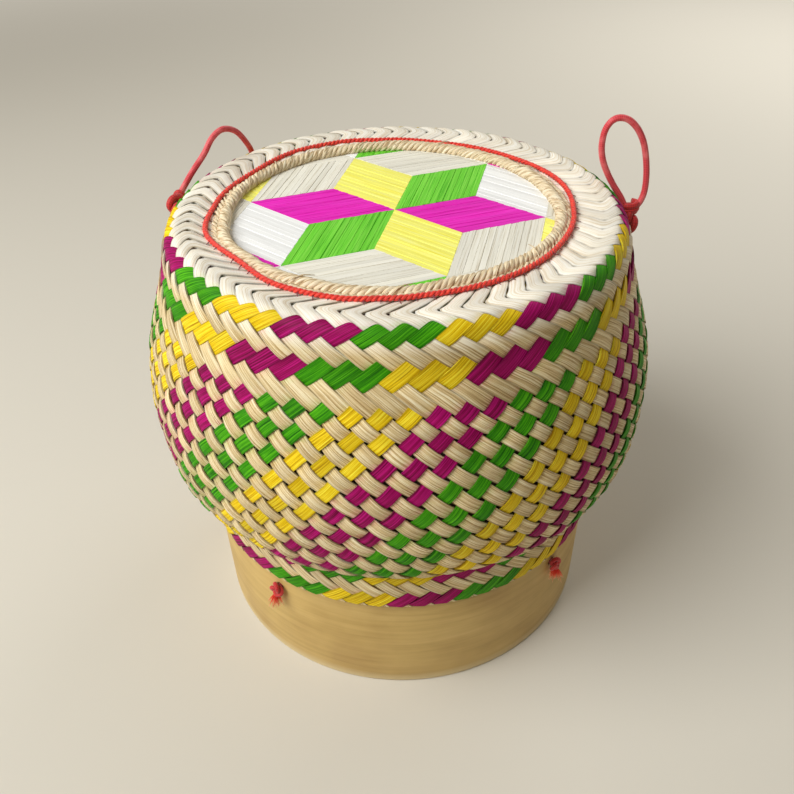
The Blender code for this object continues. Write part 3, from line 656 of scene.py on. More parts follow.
dye_creep = ((0.55, 0.80, 0.25), (0.98, 0.85, 0.40), (0.92, 0.42, 0.62))
natural_finish = bamboo_finish("undyed_bamboo", (0.33, 0.19, 0.055), (0.73, 0.56, 0.285),
                               (0.92, 0.82, 0.56), 0.42, dye_creep)
dyes = {"green": ((0.005, 0.08, 0.001), (0.036, 0.27, 0.001), (0.12, 0.52, 0.01)),
        "yellow": ((0.42, 0.22, 0.002), (0.86, 0.58, 0.004), (0.98, 0.85, 0.06)),
        "magenta": ((0.10, 0.0, 0.022), (0.31, 0.001, 0.088), (0.55, 0.01, 0.21))}
dyed_finishes = {colour: bamboo_finish(f"{colour}_dyed_bamboo", *tones, 0.48)
                 for colour, tones in dyes.items()}
columns = (-0.5, -0.28, 0.0, 0.28, 0.5)
section_columns = (0, 1, 2, 3, 4, 4, 0)
uv_per_metre = 1000


def one_strip(name, stations, crown_at):
    """One long strip from its stations: middle, outward, sideways, width, level, and how far
    each column lies out. It is slightly crowned, and keeps edge, rise and level for its finish."""
    builder = bmesh.new()
    uv = builder.loops.layers.uv.verify()
    keep = {key: builder.verts.layers.float.new(key) for key in ("edge", "rise", "level")}
    rings, reach, before = [], [], None
    for middle, outward, sideways, width, level, reaches, rises in stations:
        reach.append(0.0 if before is None else reach[-1] + (middle - before).length)
        before = middle
        ring = []
        for corner, at in enumerate(section_columns):
            c = columns[at]
            lift = reaches[at] - strip_thickness / 2
            if corner < len(columns):
                lift = reaches[at] + strip_thickness / 2 + crown_at(level) * (1 - 4 * c * c)
            vert = builder.verts.new(middle + sideways * (width * c) + outward * lift)
            vert[keep["edge"]] = abs(c) * 2
            vert[keep["rise"]] = rises[at]
            vert[keep["level"]] = level
            ring.append(vert)
        rings.append((ring, width))
    across = [columns[at] for at in section_columns]
    for index in range(len(rings) - 1):
        (low, low_width), (high, high_width) = rings[index], rings[index + 1]
        for c in range(len(across)):
            d = (c + 1) % len(across)
            face = builder.faces.new((low[c], low[d], high[d], high[c]))
            face.smooth = True
            spots = ((reach[index], across[c] * low_width), (reach[index], across[d] * low_width),
                     (reach[index + 1], across[d] * high_width), (reach[index + 1], across[c] * high_width))
            for loop, (u, v) in zip(face.loops, spots):
                loop[uv].uv = (u * uv_per_metre, v * uv_per_metre)
    builder.faces.new(rings[0][0][::-1])
    builder.faces.new(rings[-1][0])
    bmesh.ops.recalc_face_normals(builder, faces=builder.faces)
    strip = finished(name, builder)
    strip.data.set_sharp_from_angle(angle=math.radians(45))
    return strip


def strips_round_tree():
    """Sets one strip round the centre line again and again, keeps those of one colour
    group, and lets the whole weave wander a little, as hand work does."""
    tree, given = new_tree("strips_round", Strip="Object", Strips="Int", First_Turn="Float",
                           Turn_Step="Float", Repeat="Int", From="Int", To="Int", Wander="Float",
                           Finish="Material")
    row = wired(tree, "GeometryNodeMeshLine", Count=given["Strips"], Offset=(0, 0, 0))
    index = wired(tree, "GeometryNodeInputIndex")
    numbered = wired(tree, "GeometryNodeStoreNamedAttribute", {"data_type": "FLOAT", "domain": "POINT"},
                     Geometry=row, Name="strip", Value=index)
    in_repeat = maths(tree, "MODULO", index, given["Repeat"])
    late, early = (wired(tree, "FunctionNodeCompare", {"data_type": "FLOAT", "operation": operation},
                         i0=in_repeat, i1=given[limit])
                   for operation, limit in (("GREATER_EQUAL", "From"), ("LESS_THAN", "To")))
    wanted = wired(tree, "FunctionNodeBooleanMath", {"operation": "AND"}, i0=late, i1=early)
    turn = maths(tree, "MULTIPLY_ADD", index, given["Turn Step"], given["First Turn"])
    strip = wired(tree, "GeometryNodeObjectInfo", out="Geometry", Object=given["Strip"])
    laid = wired(tree, "GeometryNodeInstanceOnPoints", Points=numbered, Selection=wanted, Instance=strip,
                 Rotation=joined(tree, 0.0, 0.0, turn))
    drift = wired(tree, "ShaderNodeTexNoise", out="Color", Vector=wired(tree, "GeometryNodeInputPosition"),
                  Scale=55.0, Detail=1.0)
    centred = wired(tree, "ShaderNodeVectorMath", {"operation": "SUBTRACT"}, i0=drift, i1=(0.5, 0.5, 0.5))
    end_tree(tree, laid, given["Finish"], offset=scaled(tree, centred, given["Wander"]))
    return tree


weave_tree = strips_round_tree()


def both_ways(name, dyed_strip, dyed_turn, undyed_strip, undyed_turn, wander):
    """Lays the two ways of a weave, and gives each piece with the slot of its finish."""
    rows = [(colour, f"{colour}_bamboo", dyed_strip, dyed_turn, dyed_per_group * number,
             dyed_per_group * (number + 1), dyed_finishes[colour]) for number, colour in enumerate(groups)]
    rows.append(("undyed", "woven_bamboo", undyed_strip, undyed_turn, 0, repeat, natural_finish))
    pieces = []
    for colour, slot_name, strip, turn, first, last, finish in rows:
        woven = grown(f"{name}_{colour}_strips", weave_tree, Strip=strip, Strips=strips_round,
                      First_Turn=math.radians(turn), Turn_Step=math.radians(strip_pitch), Repeat=repeat,
                      From=first, To=last, Wander=wander, Finish=finish)
        pieces.append((woven, slot_name))
    for strip in (dyed_strip, undyed_strip):
        bpy.data.objects.remove(strip, do_unlink=True)
    return pieces


def between(pairs, value):
    """Reads a table of pairs, straight between its rows and beyond its ends."""
    for (low, at_low), (high, at_high) in zip(pairs, pairs[1:]):
        if value <= high or (high, at_high) == pairs[-1]:
            return at_low + (at_high - at_low) * (value - low) / (high - low)


def strip_stations(side_at, lean_at, rise_at, way, levels, inset, wave, width_at, fill_at,
                   tilt_at=lambda level: 0.0):
    """The stations of one strip that starts at angle 0. A strip rises over the middle of
    each strip that it crosses, so its rise is read along the other way of the weave. Its
    cross lines lie level, and it becomes narrower where it leans more."""
    stations = []
    step = 0.05
    for level in levels:
        radius, height, normal = side_at(level)
        ahead, ahead_height, _ = side_at(level + step)
        lean = lean_at(level)
        down = math.hypot(ahead - radius, ahead_height - height)
        round_it = math.radians(abs(lean_at(level + step) - lean)) * radius
        slope = down / max(math.hypot(down, round_it), 1e-9)
        pitch = math.radians(strip_pitch) * radius
        width = min(width_at(level) / max(slope, 0.2), pitch * fill_at(level))
        rises = [rise_at(level + way * c * width / pitch) for c in columns]
        rises = [math.copysign(abs(rise) ** 0.75, rise) for rise in rises]
        reaches = [wave * rise - inset + tilt_at(level) * c for rise, c in zip(rises, columns)]
        outward = round_the_axis(normal[0], lean, normal[1])
        sideways = round_the_axis(1.0, lean + 90.0, 0.0)
        middle = round_the_axis(radius, lean, height)
        stations.append((middle, outward, sideways, width, level, reaches, rises))
    return stations


def levels_between(first, last, per_level):
    count = round((last - first) * per_level)
    return [first + (last - first) * index / count for index in range(count + 1)]


body_band_radius = 0.0648
body_bottom = 0.0400
binding_stands_out = 0.0005
body_mouth_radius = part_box("body_rim_binding")[1][0] - binding_stands_out
body_wall_top = 0.1252
band_top = 0.0565
body_level_heights = [(-1.0, body_bottom - 0.0014), (0.0, body_bottom + 0.0012), (5.5, 0.0555),
                      (28.0, 0.1275)]


def body_side(level):
    """Where the body's outer weave has this crossing level, counted up from the bottom."""
    height = between(body_level_heights, level)

    def radius_at(z):
        share = max(0.0, (z - band_top) / (body_wall_top - band_top))
        return body_band_radius - (body_band_radius - body_mouth_radius) * share ** 1.6

    lean_in = radius_at(height + 0.0005) - radius_at(height - 0.0005)
    normal = Vector((0.001, -lean_in)).normalized()
    return radius_at(height), height, normal


def body_dyed_rise(level):
    if level < 5.5:
        return math.cos(math.pi * (level - 0.5) / 2)
    return -math.cos(math.pi * (level - 6.0))


half_pitch = strip_pitch / 2
green_starts = -126.0
body_inset, body_wave, body_crown = 0.00068, 0.00034, 0.00006
body_strip_width, body_fill = 0.0046, 0.93
body_strips = {}
for name, way in (("body_dyed_strip", 1), ("body_undyed_strip", -1)):
    body_strips[way] = one_strip(name, strip_stations(
        body_side, lambda level: way * half_pitch * level, lambda level: way * body_dyed_rise(level), way,
        levels_between(-0.45, 27.2, 4), body_inset, body_wave, lambda level: body_strip_width,
        lambda level: body_fill), lambda level: body_crown)
for woven, slot_name in both_ways("body", body_strips[1], green_starts, body_strips[-1], green_starts, 0.0):
    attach(woven, "basket")
    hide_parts("body_outer_wall")

# Inner cup: a second basket of undyed bamboo inside the first, in a plain weave. Its outer side
# is painted near black: painted shade for the deep shade in the gaps of the outer weave.
crossing_rise = 0.0066


def plain_weave_finish(name, deep, pale):
    """Bamboo in a plain weave, drawn from the place round the centre line and the height."""
    material, tree, shader = blank_finish(name)
    place = object_place(tree)
    x, y, height = parts_of(tree, place)
    round_it = maths(tree, "MULTIPLY", maths(tree, "ARCTAN2", y, x), strips_round / math.tau)
    up = maths(tree, "MULTIPLY", height, 1 / crossing_rise)
    numbers, bows = [], []
    for operation in ("ADD", "SUBTRACT"):
        way = maths(tree, operation, round_it, up)
        numbers.append(maths(tree, "FLOOR", way))
        part = maths(tree, "SUBTRACT", way, numbers[-1])
        bows.append(maths(tree, "SINE", maths(tree, "MULTIPLY", part, math.pi)))
    odd = maths(tree, "FLOORED_MODULO", maths(tree, "ADD", *numbers), 2.0)
    arch, strip = (wired(tree, "ShaderNodeMix", {"data_type": "FLOAT"}, i0=odd, i2=one, i3=other)
                   for one, other in (bows, numbers[::-1]))
    colour = steps_of_colour(tree, by_chance(tree, strip), (0.0, deep), (1.0, pale))
    shade = maths(tree, "MULTIPLY", mapped(tree, arch, 0.42, 1.0, 0.0, 0.45),
                  mapped(tree, noise(tree, place, 900.0, 3.0), 0.8, 1.15))
    surface(tree, shader, arch, 0.6, 0.0006, Base_Color=scaled(tree, colour, shade), Roughness=0.55)
    return material


inner_finish = plain_weave_finish("inner_weave", (0.58, 0.44, 0.25), (0.76, 0.63, 0.41))
# Painted shade: the near-black finish on the linings' outer sides stands for the shade in the weave's gaps.
gap_shade_finish = plain_weave_finish("inner_weave_painted_shade_side", (0.07, 0.045, 0.02), (0.11, 0.075, 0.035))


def turned_piece(name, profile, *finishes, closed=False):
    """A round piece from its profile of radius and height, spun about the centre line. A
    second finish is for its outer side."""
    builder = bmesh.new()
    corners = [builder.verts.new((radius, 0.0, height)) for radius, height in profile]
    pairs = list(zip(corners, corners[1:])) + ([(corners[-1], corners[0])] if closed else [])
    edges = [builder.edges.new(pair) for pair in pairs]
    bmesh.ops.spin(builder, geom=corners + edges, cent=(0, 0, 0), axis=(0, 0, 1), angle=math.tau,
                   steps=160, use_merge=True)
    bmesh.ops.remove_doubles(builder, verts=builder.verts, dist=0.00001)
    bmesh.ops.recalc_face_normals(builder, faces=builder.faces)
    for face in builder.faces:
        face.smooth = True
        middle = face.calc_center_median()
        looks_out = face.normal.dot(Vector((middle.x, middle.y, 0))) > 0
        face.material_index = int(looks_out and len(finishes) > 1)
    piece = finished(name, builder, *finishes)
    piece.data.set_sharp_from_angle(angle=math.radians(38))
    return piece


inner_levels = [27.2, 24.0, 20.0, 16.0, 12.0, 8.0, 5.5]
lining_gap, lining_wall, lining_play, well_depth = 0.0018, 0.0012, 0.0003, 0.0062
wall_inside = [(body_side(level)[0] - lining_gap, body_side(level)[1]) for level in inner_levels]
foot_well = foot_inside - lining_play
well_low = hoop_height - well_depth
band_waist = body_band_radius - lining_gap
well_top = well_low + lining_wall
floor_bend = [(0.0032, lining_wall), (0.0020, 0.0016), (lining_wall, 0.0029)]
cup_outside = wall_inside + [(radius, hoop_height + lining_play) for radius in (band_waist, foot_well)]
cup_outside += [(foot_well, well_top), (foot_well - lining_wall, well_low), (0.0, well_low)]
cup_inside = [(0.0, well_top)] + [(foot_well - inset, well_low + rise) for inset, rise in floor_bend]
cup_inside += [(foot_well - lining_wall, hoop_height + 0.0015),
               (band_waist - lining_wall, hoop_height + 0.0018)]
cup_inside += [(radius - lining_wall, height) for radius, height in wall_inside[::-1]]
cup = turned_piece("inner_cup", cup_inside + cup_outside, inner_finish, gap_shade_finish)
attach(cup, "basket")
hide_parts("body_lining")

# Mouth binding: one bamboo strip folded over the ends of both weaves and sewn down, so that
# the body's mouth is smooth and the lid slides on over it.
binding_low, binding_high = (Vector(corner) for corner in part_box("body_rim_binding"))
binding_far = binding_high.x
binding_width = 0.0040
binding_near = binding_far - binding_width
binding_side = [(0.0, binding_high.z - 0.0008), (0.0003, binding_high.z - 0.0003), (0.0009, binding_high.z)]
binding_profile = [(binding_far, binding_low.z)]
binding_profile += [(binding_far - inset, height) for inset, height in binding_side]
binding_profile += [(binding_near + inset, height) for inset, height in binding_side[::-1]]
binding_profile += [(binding_near, binding_low.z)]
binding = turned_piece("folded_mouth_binding", binding_profile, natural_finish, closed=True)
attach(binding, "basket")
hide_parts("body_rim_binding")

# Lid: the same weave, much wider. At the rim it goes over two and under two, and the undyed
# strips fold over the crest and lie as a flat ring, with the dyed ends shut in below them.
lid_outline = [(46.4, 130.9), (48.9, 131.2), (51.5, 131.7), (55.5, 132.5), (59.3, 132.8), (60.6, 132.4),
               (61.9, 131.3), (62.7, 129.8), (63.6, 127.5), (64.4, 124.5), (65.3, 121.0), (67.0, 116.0),
               (68.8, 111.0), (71.0, 104.5), (72.9, 98.0), (74.2, 91.5), (74.8, 86.0), (74.9, 80.0),
               (74.6, 74.0), (73.9, 68.5), (72.8, 63.5), (70.6, 60.0), (67.1, 56.8)]
lid_steps, crest_station = 8, 4
lid_line = smooth_line([(radius / 1000, height / 1000, 0.0) for radius, height in lid_outline], lid_steps)
lid_reach = [0.0]
for start, stop in zip(lid_line, lid_line[1:]):
    lid_reach.append(lid_reach[-1] + (stop - start).length)
crest_reach = lid_reach[lid_steps * crest_station]
lid_levels = [(-4.2, -12.9), (1.5, -1.0), (3.5, 3.6), (5.5, 8.0), (7.5, 13.2), (9.5, 18.4), (11.0, 23.1),
              (13.0, 29.1), (15.0, 35.9), (17.0, 43.0), (19.0, 50.3), (21.0, 57.6), (23.0, 64.9),
              (25.0, 72.0), (27.8, 81.6)]


def lid_side(level):
    """Where the lid's outer weave has this crossing level, counted down from the crest."""
    reach = min(max(crest_reach + between(lid_levels, level) / 1000, 0.0), lid_reach[-1] - 1e-6)
    at = max(i for i in range(len(lid_reach) - 1) if lid_reach[i] <= reach)
    share = (reach - lid_reach[at]) / (lid_reach[at + 1] - lid_reach[at])
    spot = lid_line[at].lerp(lid_line[at + 1], share)
    low, high = lid_line[max(0, at - 2)], lid_line[min(len(lid_line) - 1, at + 3)]
    run = (high - low).normalized()
    return spot.x, spot.y, Vector((-run.y, run.x))


def undyed_rise(level):
    if level < -3.0:
        return 1.0 - 0.6 * (-3.0 - level)
    if level < 1.5:
        return 1.0
    if level < 10.5:
        return math.cos(math.pi * (level - 1.5) / 2)
    return -math.cos(math.pi * (level - 11.0))


slips = [(9.0, 0.0), (11.0, 0.3), (13.0, 0.6), (15.0, 1.07), (17.0, 1.85), (19.0, 2.8), (21.0, 3.7),
         (23.0, 4.9), (25.0, 5.9), (28.0, 7.4)]


def weave_twist(level):
    """Lower down, the whole weave has slipped round a little as it was drawn in."""
    return max(0.0, between(slips, level))


fold_starts, fold_ends, lean_back = 1.15, -0.35, 2.0


def undyed_lean(level):
    """Down the side the strip leans to the right. Over the crest it folds and leans back."""
    if level >= fold_starts:
        return half_pitch * level + weave_twist(level)
    share = min(1.0, (fold_starts - level) / (fold_starts - fold_ends))
    folded = (fold_starts - fold_ends) * (half_pitch * share - (half_pitch + lean_back) * share * share / 2)
    return half_pitch * fold_starts - folded + lean_back * max(0.0, fold_ends - level)


def dyed_lean(level):
    """The dyed strips lean to the left, and are pushed flat along the mouth."""
    return -half_pitch * level + weave_twist(level) - 2.2 * max(0.0, level - 26.0) ** 2


full_width, split_off, dyed_narrower = 0.0047, 0.0008, 0.0002


def strip_width(level):
    """The strips are split thinner for the plain weave, so holes open at its crossings."""
    return full_width - split_off * min(1.0, max(0.0, (level - 9.5) / 1.5))


def undyed_fill(level):
    """How much of its pitch a strip may fill: small slits open on the flat ring."""
    if level < -0.2:
        return 1.0 - 0.10 * max(0.0, math.sin(math.pi * min(1.0, (-0.2 - level) / 2.2)))
    return 1.0


lid_top_angle = -80.0
lid_inset, lid_wave, lid_wander = 0.00066, 0.00044, 0.0012
lid_crown, folded_crown, undyed_tilt, dyed_tilt = 0.00007, 0.00030, 0.00026, -0.00022
lid_undyed_strip = one_strip("lid_undyed_strip", strip_stations(
    lid_side, undyed_lean, undyed_rise, 1, levels_between(-4.0, 27.6, 4), lid_inset, lid_wave,
    strip_width, undyed_fill, lambda level: undyed_tilt if level < 9 else 0.0),
    lambda level: lid_crown + folded_crown * min(1.0, max(0.0, 2.8 - level)))
lid_dyed_strip = one_strip("lid_dyed_strip", strip_stations(
    lid_side, dyed_lean, lambda level: -undyed_rise(level) if level > 1.5 else -1.0, -1,
    levels_between(-2.6, 27.6, 4), lid_inset, lid_wave, lambda level: strip_width(level) - dyed_narrower,
    lambda level: 1.0, lambda level: dyed_tilt if 2 < level < 9 else 0.0), lambda level: lid_crown)
for woven, slot_name in both_ways("lid", lid_dyed_strip, lid_top_angle - strip_pitch, lid_undyed_strip,
                                  lid_top_angle, lid_wander):
    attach(woven, "lid")
    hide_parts("lid_outer_wall")

# Inside the lid: a plain inner weave, a cane hoop that fills out the rim, and a stiff disc
# of bamboo that the star is laid on. Little of them shows while the lid is on.
skin_outside, skin_inside = 0.0015, 0.0023
lining_ceiling, ceiling_thickness, lining_shoulder, shoulder_bevel = 0.1286, 0.0008, 0.1272, 0.0006
skins = {depth: [] for depth in (skin_outside, skin_inside)}
for level in levels_between(2.0, 27.8, 1):
    radius, height, normal = lid_side(level)
    if height < lining_shoulder:
        for depth, skin in skins.items():
            skin.append((radius - depth * normal.x, height - depth * normal.y))
top_radius = skins[skin_outside][0][0] - shoulder_bevel
lining_profile = [(0.0, lining_ceiling), (top_radius - shoulder_bevel, lining_ceiling)]
lining_profile += skins[skin_outside] + skins[skin_inside][::-1]
lining_profile += [(top_radius - shoulder_bevel - ceiling_thickness, lining_ceiling - ceiling_thickness),
                   (0.0, lining_ceiling - ceiling_thickness)]
# The lid's inner weave gets the same painted shade on its outer side.
lid_lining = turned_piece("lid_inner_weave", lining_profile, inner_finish, gap_shade_finish)
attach(lid_lining, "lid")
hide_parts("lid_lining")
for node_name, finish in (("rim_core_hoop", foot_finish), ("panel_backing", inner_finish)):
    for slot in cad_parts[node_name].material_slots:
        slot.material = finish

# Star: a field of rhombs laid side by side, six of them dyed and meeting at the middle as a
# star. Each is of fine slivers that all run along one pair of its sides.
panel_radius = 0.0456
panel_top = 0.1308
star_side = 0.0245
star_middle = Vector((-0.0003, 0.0008))
edge_right = Vector((0.0230, 0.0080))
edge_left = Vector((-0.0176, 0.0148))
edge_back = edge_right + edge_left
slivers_per_rhomb = 12
sliver_thickness = 0.0006
sliver_gap = 0.00004
sliver_ease, sliver_bevel, sliver_lift = 0.00008, 0.00010, 0.00003
panel_facets = 96
solid_star_radius = 0.0454


def panel_finish(name, deep, mid, pale, gloss):
    """Smooth fine slivers, each a little lighter or darker than the next."""
    material, tree, shader = blank_finish(name)
    sliver = kept_number(tree, "sliver")
    fibres = uv_fibres(tree, 0.06, 3.2, maths(tree, "MULTIPLY", sliver, 2.37), roughness=0.6)
    colour = steps_of_colour(tree, fibres, (0.28, deep), (0.45, mid), (0.70, pale))
    light = mapped(tree, by_chance(tree, sliver), 0.90, 1.05)
    surface(tree, shader, fibres, 0.25, 0.0001, Base_Color=scaled(tree, colour, light), Roughness=gloss,
            Specular_IOR_Level=0.15)
    return material


panel_tones = {
    "magenta": ((0.52, 0.004, 0.28), (0.80, 0.012, 0.47), (0.90, 0.05, 0.62), 0.5),
    "green": ((0.06, 0.40, 0.012), (0.14, 0.60, 0.03), (0.26, 0.74, 0.08), 0.5),
    "yellow": ((0.84, 0.72, 0.06), (0.94, 0.90, 0.15), (0.97, 0.96, 0.32), 0.5),
    "natural": ((0.58, 0.52, 0.40), (0.80, 0.77, 0.65), (0.88, 0.86, 0.77), 0.55),
    "white": ((0.76, 0.75, 0.72), (0.89, 0.89, 0.86), (0.93, 0.93, 0.91), 0.55)}
panel_finishes = {colour: panel_finish(f"panel_{colour.replace('natural', 'undyed')}", *tones)
                  for colour, tones in panel_tones.items()}


def cut_straight(outline, spot, outward):
    """Keeps the part of an outline that lies behind a straight cut."""
    kept = []
    for start, stop in zip(outline, outline[1:] + outline[:1]):
        a, b = (start - spot).dot(outward), (stop - spot).dot(outward)
        if a <= 0:
            kept.append(start)
        if (a < 0 < b) or (b < 0 < a):
            kept.append(start.lerp(stop, a / (a - b)))
    return kept


def cut_to_panel(outline):
    """Keeps the part of an outline that lies on the round panel."""
    for facet in range(panel_facets):
        if len(outline) < 3:
            return []
        turn = math.tau * facet / panel_facets
        way = Vector((math.cos(turn), math.sin(turn)))
        outline = cut_straight(outline, way * panel_radius, way)
    return outline


def add_sliver(builder, outline, number, run, across):
    """Adds one sliver with its long edges eased. Its UV is in millimetres along the grain."""
    area = sum(a.x * b.y - b.x * a.y for a, b in zip(outline, outline[1:] + outline[:1])) / 2
    if len(outline) < 3 or abs(area) < 1e-7:
        return
    outline = outline[::-1] if area < 0 else outline
    uv = builder.loops.layers.uv.verify()
    number_layer = builder.verts.layers.float["sliver"]
    middle = sum(outline, Vector((0, 0))) / len(outline)
    lift = sliver_lift * ((number * 7) % 5 - 2)
    layers = []
    for inset, height in ((0.0, panel_top - sliver_thickness), (0.0, panel_top - sliver_bevel),
                          (sliver_ease, panel_top + lift)):
        ring = []
        for corner in outline:
            offset = (corner - middle).dot(across)
            moved = corner - across * (math.copysign(min(inset, abs(offset)), offset))
            vert = builder.verts.new((moved.x, moved.y, height))
            vert[number_layer] = number
            ring.append((vert, moved))
        layers.append(ring)
    sides = []
    for lower, upper in zip(layers, layers[1:]):
        for c in range(len(lower)):
            d = (c + 1) % len(lower)
            sides.append([lower[c], lower[d], upper[d], upper[c]])
    for corners in sides + [layers[-1], layers[0][::-1]]:
        face = builder.faces.new([vert for vert, _ in corners])
        for loop, (_, spot) in zip(face.loops, corners):
            loop[uv].uv = (spot.dot(run) * uv_per_metre, spot.dot(across) * uv_per_metre)


made_count = {colour: 0 for colour in panel_finishes}
edge_count = 0
sliver_number = 0
spacing = math.sqrt(3) * star_side
lane_half = math.sqrt(3) / 4 * star_side
star_steps = [(i, j) for i in range(-3, 4) for j in range(-3, 4)]
ways = {0: (edge_right, -edge_left), 60: (edge_back, edge_right), 120: (edge_left, edge_back)}
for heading, (grain_edge, other_edge) in ways.items():
    turn, grain = math.radians(heading), math.radians(heading + 30)
    half_step = Vector((math.cos(turn), math.sin(turn))) * spacing / 2
    lane_across = Vector((-math.sin(grain), math.cos(grain)))
    grain_run = grain_edge.normalized()
    grain_across = Vector((-grain_run.y, grain_run.x))
    rhomb_half = abs(other_edge.dot(grain_across)) / 2
    width = 2 * rhomb_half / slivers_per_rhomb
    for i, j in star_steps:
        even = Vector((spacing, 0)) * i + Vector((spacing / 2, spacing * math.sqrt(3) / 2)) * j + half_step
        colour = "white" if heading == 120 else "natural"
        if abs(even.dot(lane_across)) < lane_half * 1.5:
            colour = ("magenta", "green", "yellow")[heading // 60]
        in_solid = max(0.0, even.length - spacing / 2) < solid_star_radius - star_side / 8
        made_count[colour] += in_solid
        centre = star_middle + (edge_right - edge_left) * i + (edge_right + edge_back) * j
        centre = centre + (grain_edge + other_edge) / 2
        long_half, short_half = (grain_edge + other_edge) / 2, (grain_edge - other_edge) / 2
        rhomb = [centre + side for side in (long_half, short_half, -long_half, -short_half)]
        builder = bmesh.new()
        builder.verts.layers.float.new("sliver")
        for cut in range(slivers_per_rhomb):
            sliver_number += 1
            low = -rhomb_half + width * cut + sliver_gap / 2
            outline = cut_straight(rhomb, centre + grain_across * (low + width - sliver_gap), grain_across)
            outline = cut_straight(outline, centre + grain_across * low, -grain_across)
            add_sliver(builder, cut_to_panel(outline), sliver_number, grain_run, grain_across)
        if not in_solid and not builder.faces:
            builder.free()
            continue
        edge_count += not in_solid
        name = f"{colour}_rhomb_{made_count[colour]}" if in_solid else f"{colour}_edge_rhomb_{edge_count}"
        tile = finished(name, builder, panel_finishes[colour])
        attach(tile, "lid")
        if in_solid:
            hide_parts(f"star_{colour}_{made_count[colour]}")

# Straw rope: four strands of undyed straw laid up into a rope round the star, with thinner
# straws beside it. It covers the slivers' ends, and some straws have worked loose.


def rim_radius(table, degrees):
    """A radius round the rim, read smoothly from a few measured ones."""
    degrees = (degrees + 180.0) % 360.0 - 180.0
    rows = [(angle - 360, value) for angle, value in table[-1:]] + list(table)
    rows += [(angle + 360, value) for angle, value in table[:1]]
    for (low, at_low), (high, at_high) in zip(rows, rows[1:]):
        if low <= degrees <= high:
            share = (degrees - low) / (high - low)
            share = share * share * (3 - 2 * share)
            return at_low + (at_high - at_low) * share


red_cord_radii = [(-165, 51.6), (-142, 48.9), (-124, 50.4), (-106, 50.2), (-92, 48.9), (-79, 48.0),
                  (-66, 47.9), (-51, 47.9), (-31, 47.7), (-10, 48.0), (18, 49.2), (47, 48.0), (72, 47.9),
                  (92, 49.3), (110, 51.2), (125, 51.4), (151, 49.1), (176, 50.0)]
panel_edge_radii = [(-176, 44.6), (-158, 45.6), (-137, 45.2), (-118, 44.4), (-92, 43.9), (-72, 42.3),
                    (-50, 42.6), (-27, 43.1), (-9, 43.2), (8, 42.3), (29, 42.3), (48, 42.5), (90, 43.4),
                    (140, 44.0)]
rope_from_edge, rope_from_cord, rope_height = 1.7, 2.5, 0.1317
thin_from_rope, thin_from_cord, thin_height = 0.0024, 1.5, 0.1313
rope_unevenness = 0.0001


def straw_centre(degrees):
    """The thick rope follows the panel's edge, and keeps clear of the red cord."""
    radius = min(rim_radius(panel_edge_radii, degrees) + rope_from_edge,
                 rim_radius(red_cord_radii, degrees) - rope_from_cord)
    return radius / 1000, rope_height + rope_unevenness * math.sin(math.radians(degrees * 5))


def thin_straw_centre(degrees):
    """The thinner straws lie between the thick rope and the red cord."""
    radius = min(straw_centre(degrees)[0] + thin_from_rope,
                 (rim_radius(red_cord_radii, degrees) - thin_from_cord) / 1000)
    return radius, thin_height + rope_unevenness * math.sin(math.radians(degrees * 7))


def laid_rope(builder, centre_at, radii_at, strands, lay, turns_per_ring, corners, steps):
    """Strands that wind round each other along a closed ring."""
    for strand in range(strands):
        line = []
        for index in range(steps):
            degrees = 360.0 * index / steps - 180.0
            radius, height = centre_at(degrees)
            twist = math.tau * (turns_per_ring * index / steps + strand / strands)
            radius, height = radius + lay * math.cos(twist), height + lay * math.sin(twist)
            line.append(round_the_axis(radius, degrees, height))
        tube(builder, line, [radii_at(strand, index) for index in range(steps)], corners, closed=True)


def twisted_finish(name, first_scale, second_scale, stops, strength, depth, **values):
    """Fibres that run along a twisted strand."""
    material, tree, shader = blank_finish(name)
    fibres = uv_fibres(tree, first_scale, second_scale)
    surface(tree, shader, fibres, strength, depth, Base_Color=steps_of_colour(tree, fibres, *stops), **values)
    return material


straw = twisted_finish("straw_rope", 9.0, 0.35, [
    (0.34, (0.42, 0.28, 0.13)), (0.50, (0.76, 0.62, 0.40)), (0.66, (0.88, 0.79, 0.58))],
    0.5, 0.00015, Roughness=0.55)
builder = bmesh.new()
laid_rope(builder, straw_centre,
          lambda strand, index: 0.00080 + 0.00009 * math.sin(index * 0.17 + strand * 2.1),
          strands=4, lay=0.00092, turns_per_ring=42, corners=7, steps=900)
laid_rope(builder, thin_straw_centre,
          lambda strand, index: 0.00050 + 0.00014 * math.sin(index * 0.11 + strand * 1.7),
          strands=3, lay=0.00062, turns_per_ring=46, corners=6, steps=900)
straw_rope = finished("straw_rope_round_star", builder, straw)
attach(straw_rope, "lid")
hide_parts("rim_braid")

# Red rim cord: two plies twisted together and laid on the flat ring, where short dark
# stitches through the weave hold it. Between stitches it pulls nearly straight. The straw's
# loose ends are laid along the rope in the same way as the stitches along the cord.
rim_cord_finish = twisted_finish("rim_cord_red", 7.0, 0.8, [
    (0.35, (0.50, 0.008, 0.004)), (0.55, (0.80, 0.028, 0.008)), (0.75, (0.88, 0.10, 0.035))],
    0.4, 0.0001, Roughness=0.6, Sheen_Weight=0.3)
red_cord_height = 0.1323


def red_cord_centre(degrees):
    return rim_radius(red_cord_radii, degrees) / 1000, red_cord_height


builder = bmesh.new()
laid_rope(builder, red_cord_centre, lambda strand, index: 0.00046, strands=2, lay=0.00031,
          turns_per_ring=118, corners=6, steps=1240)
rim_cord = finished("red_rim_cord", builder, rim_cord_finish)
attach(rim_cord, "lid")
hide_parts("rim_cord")


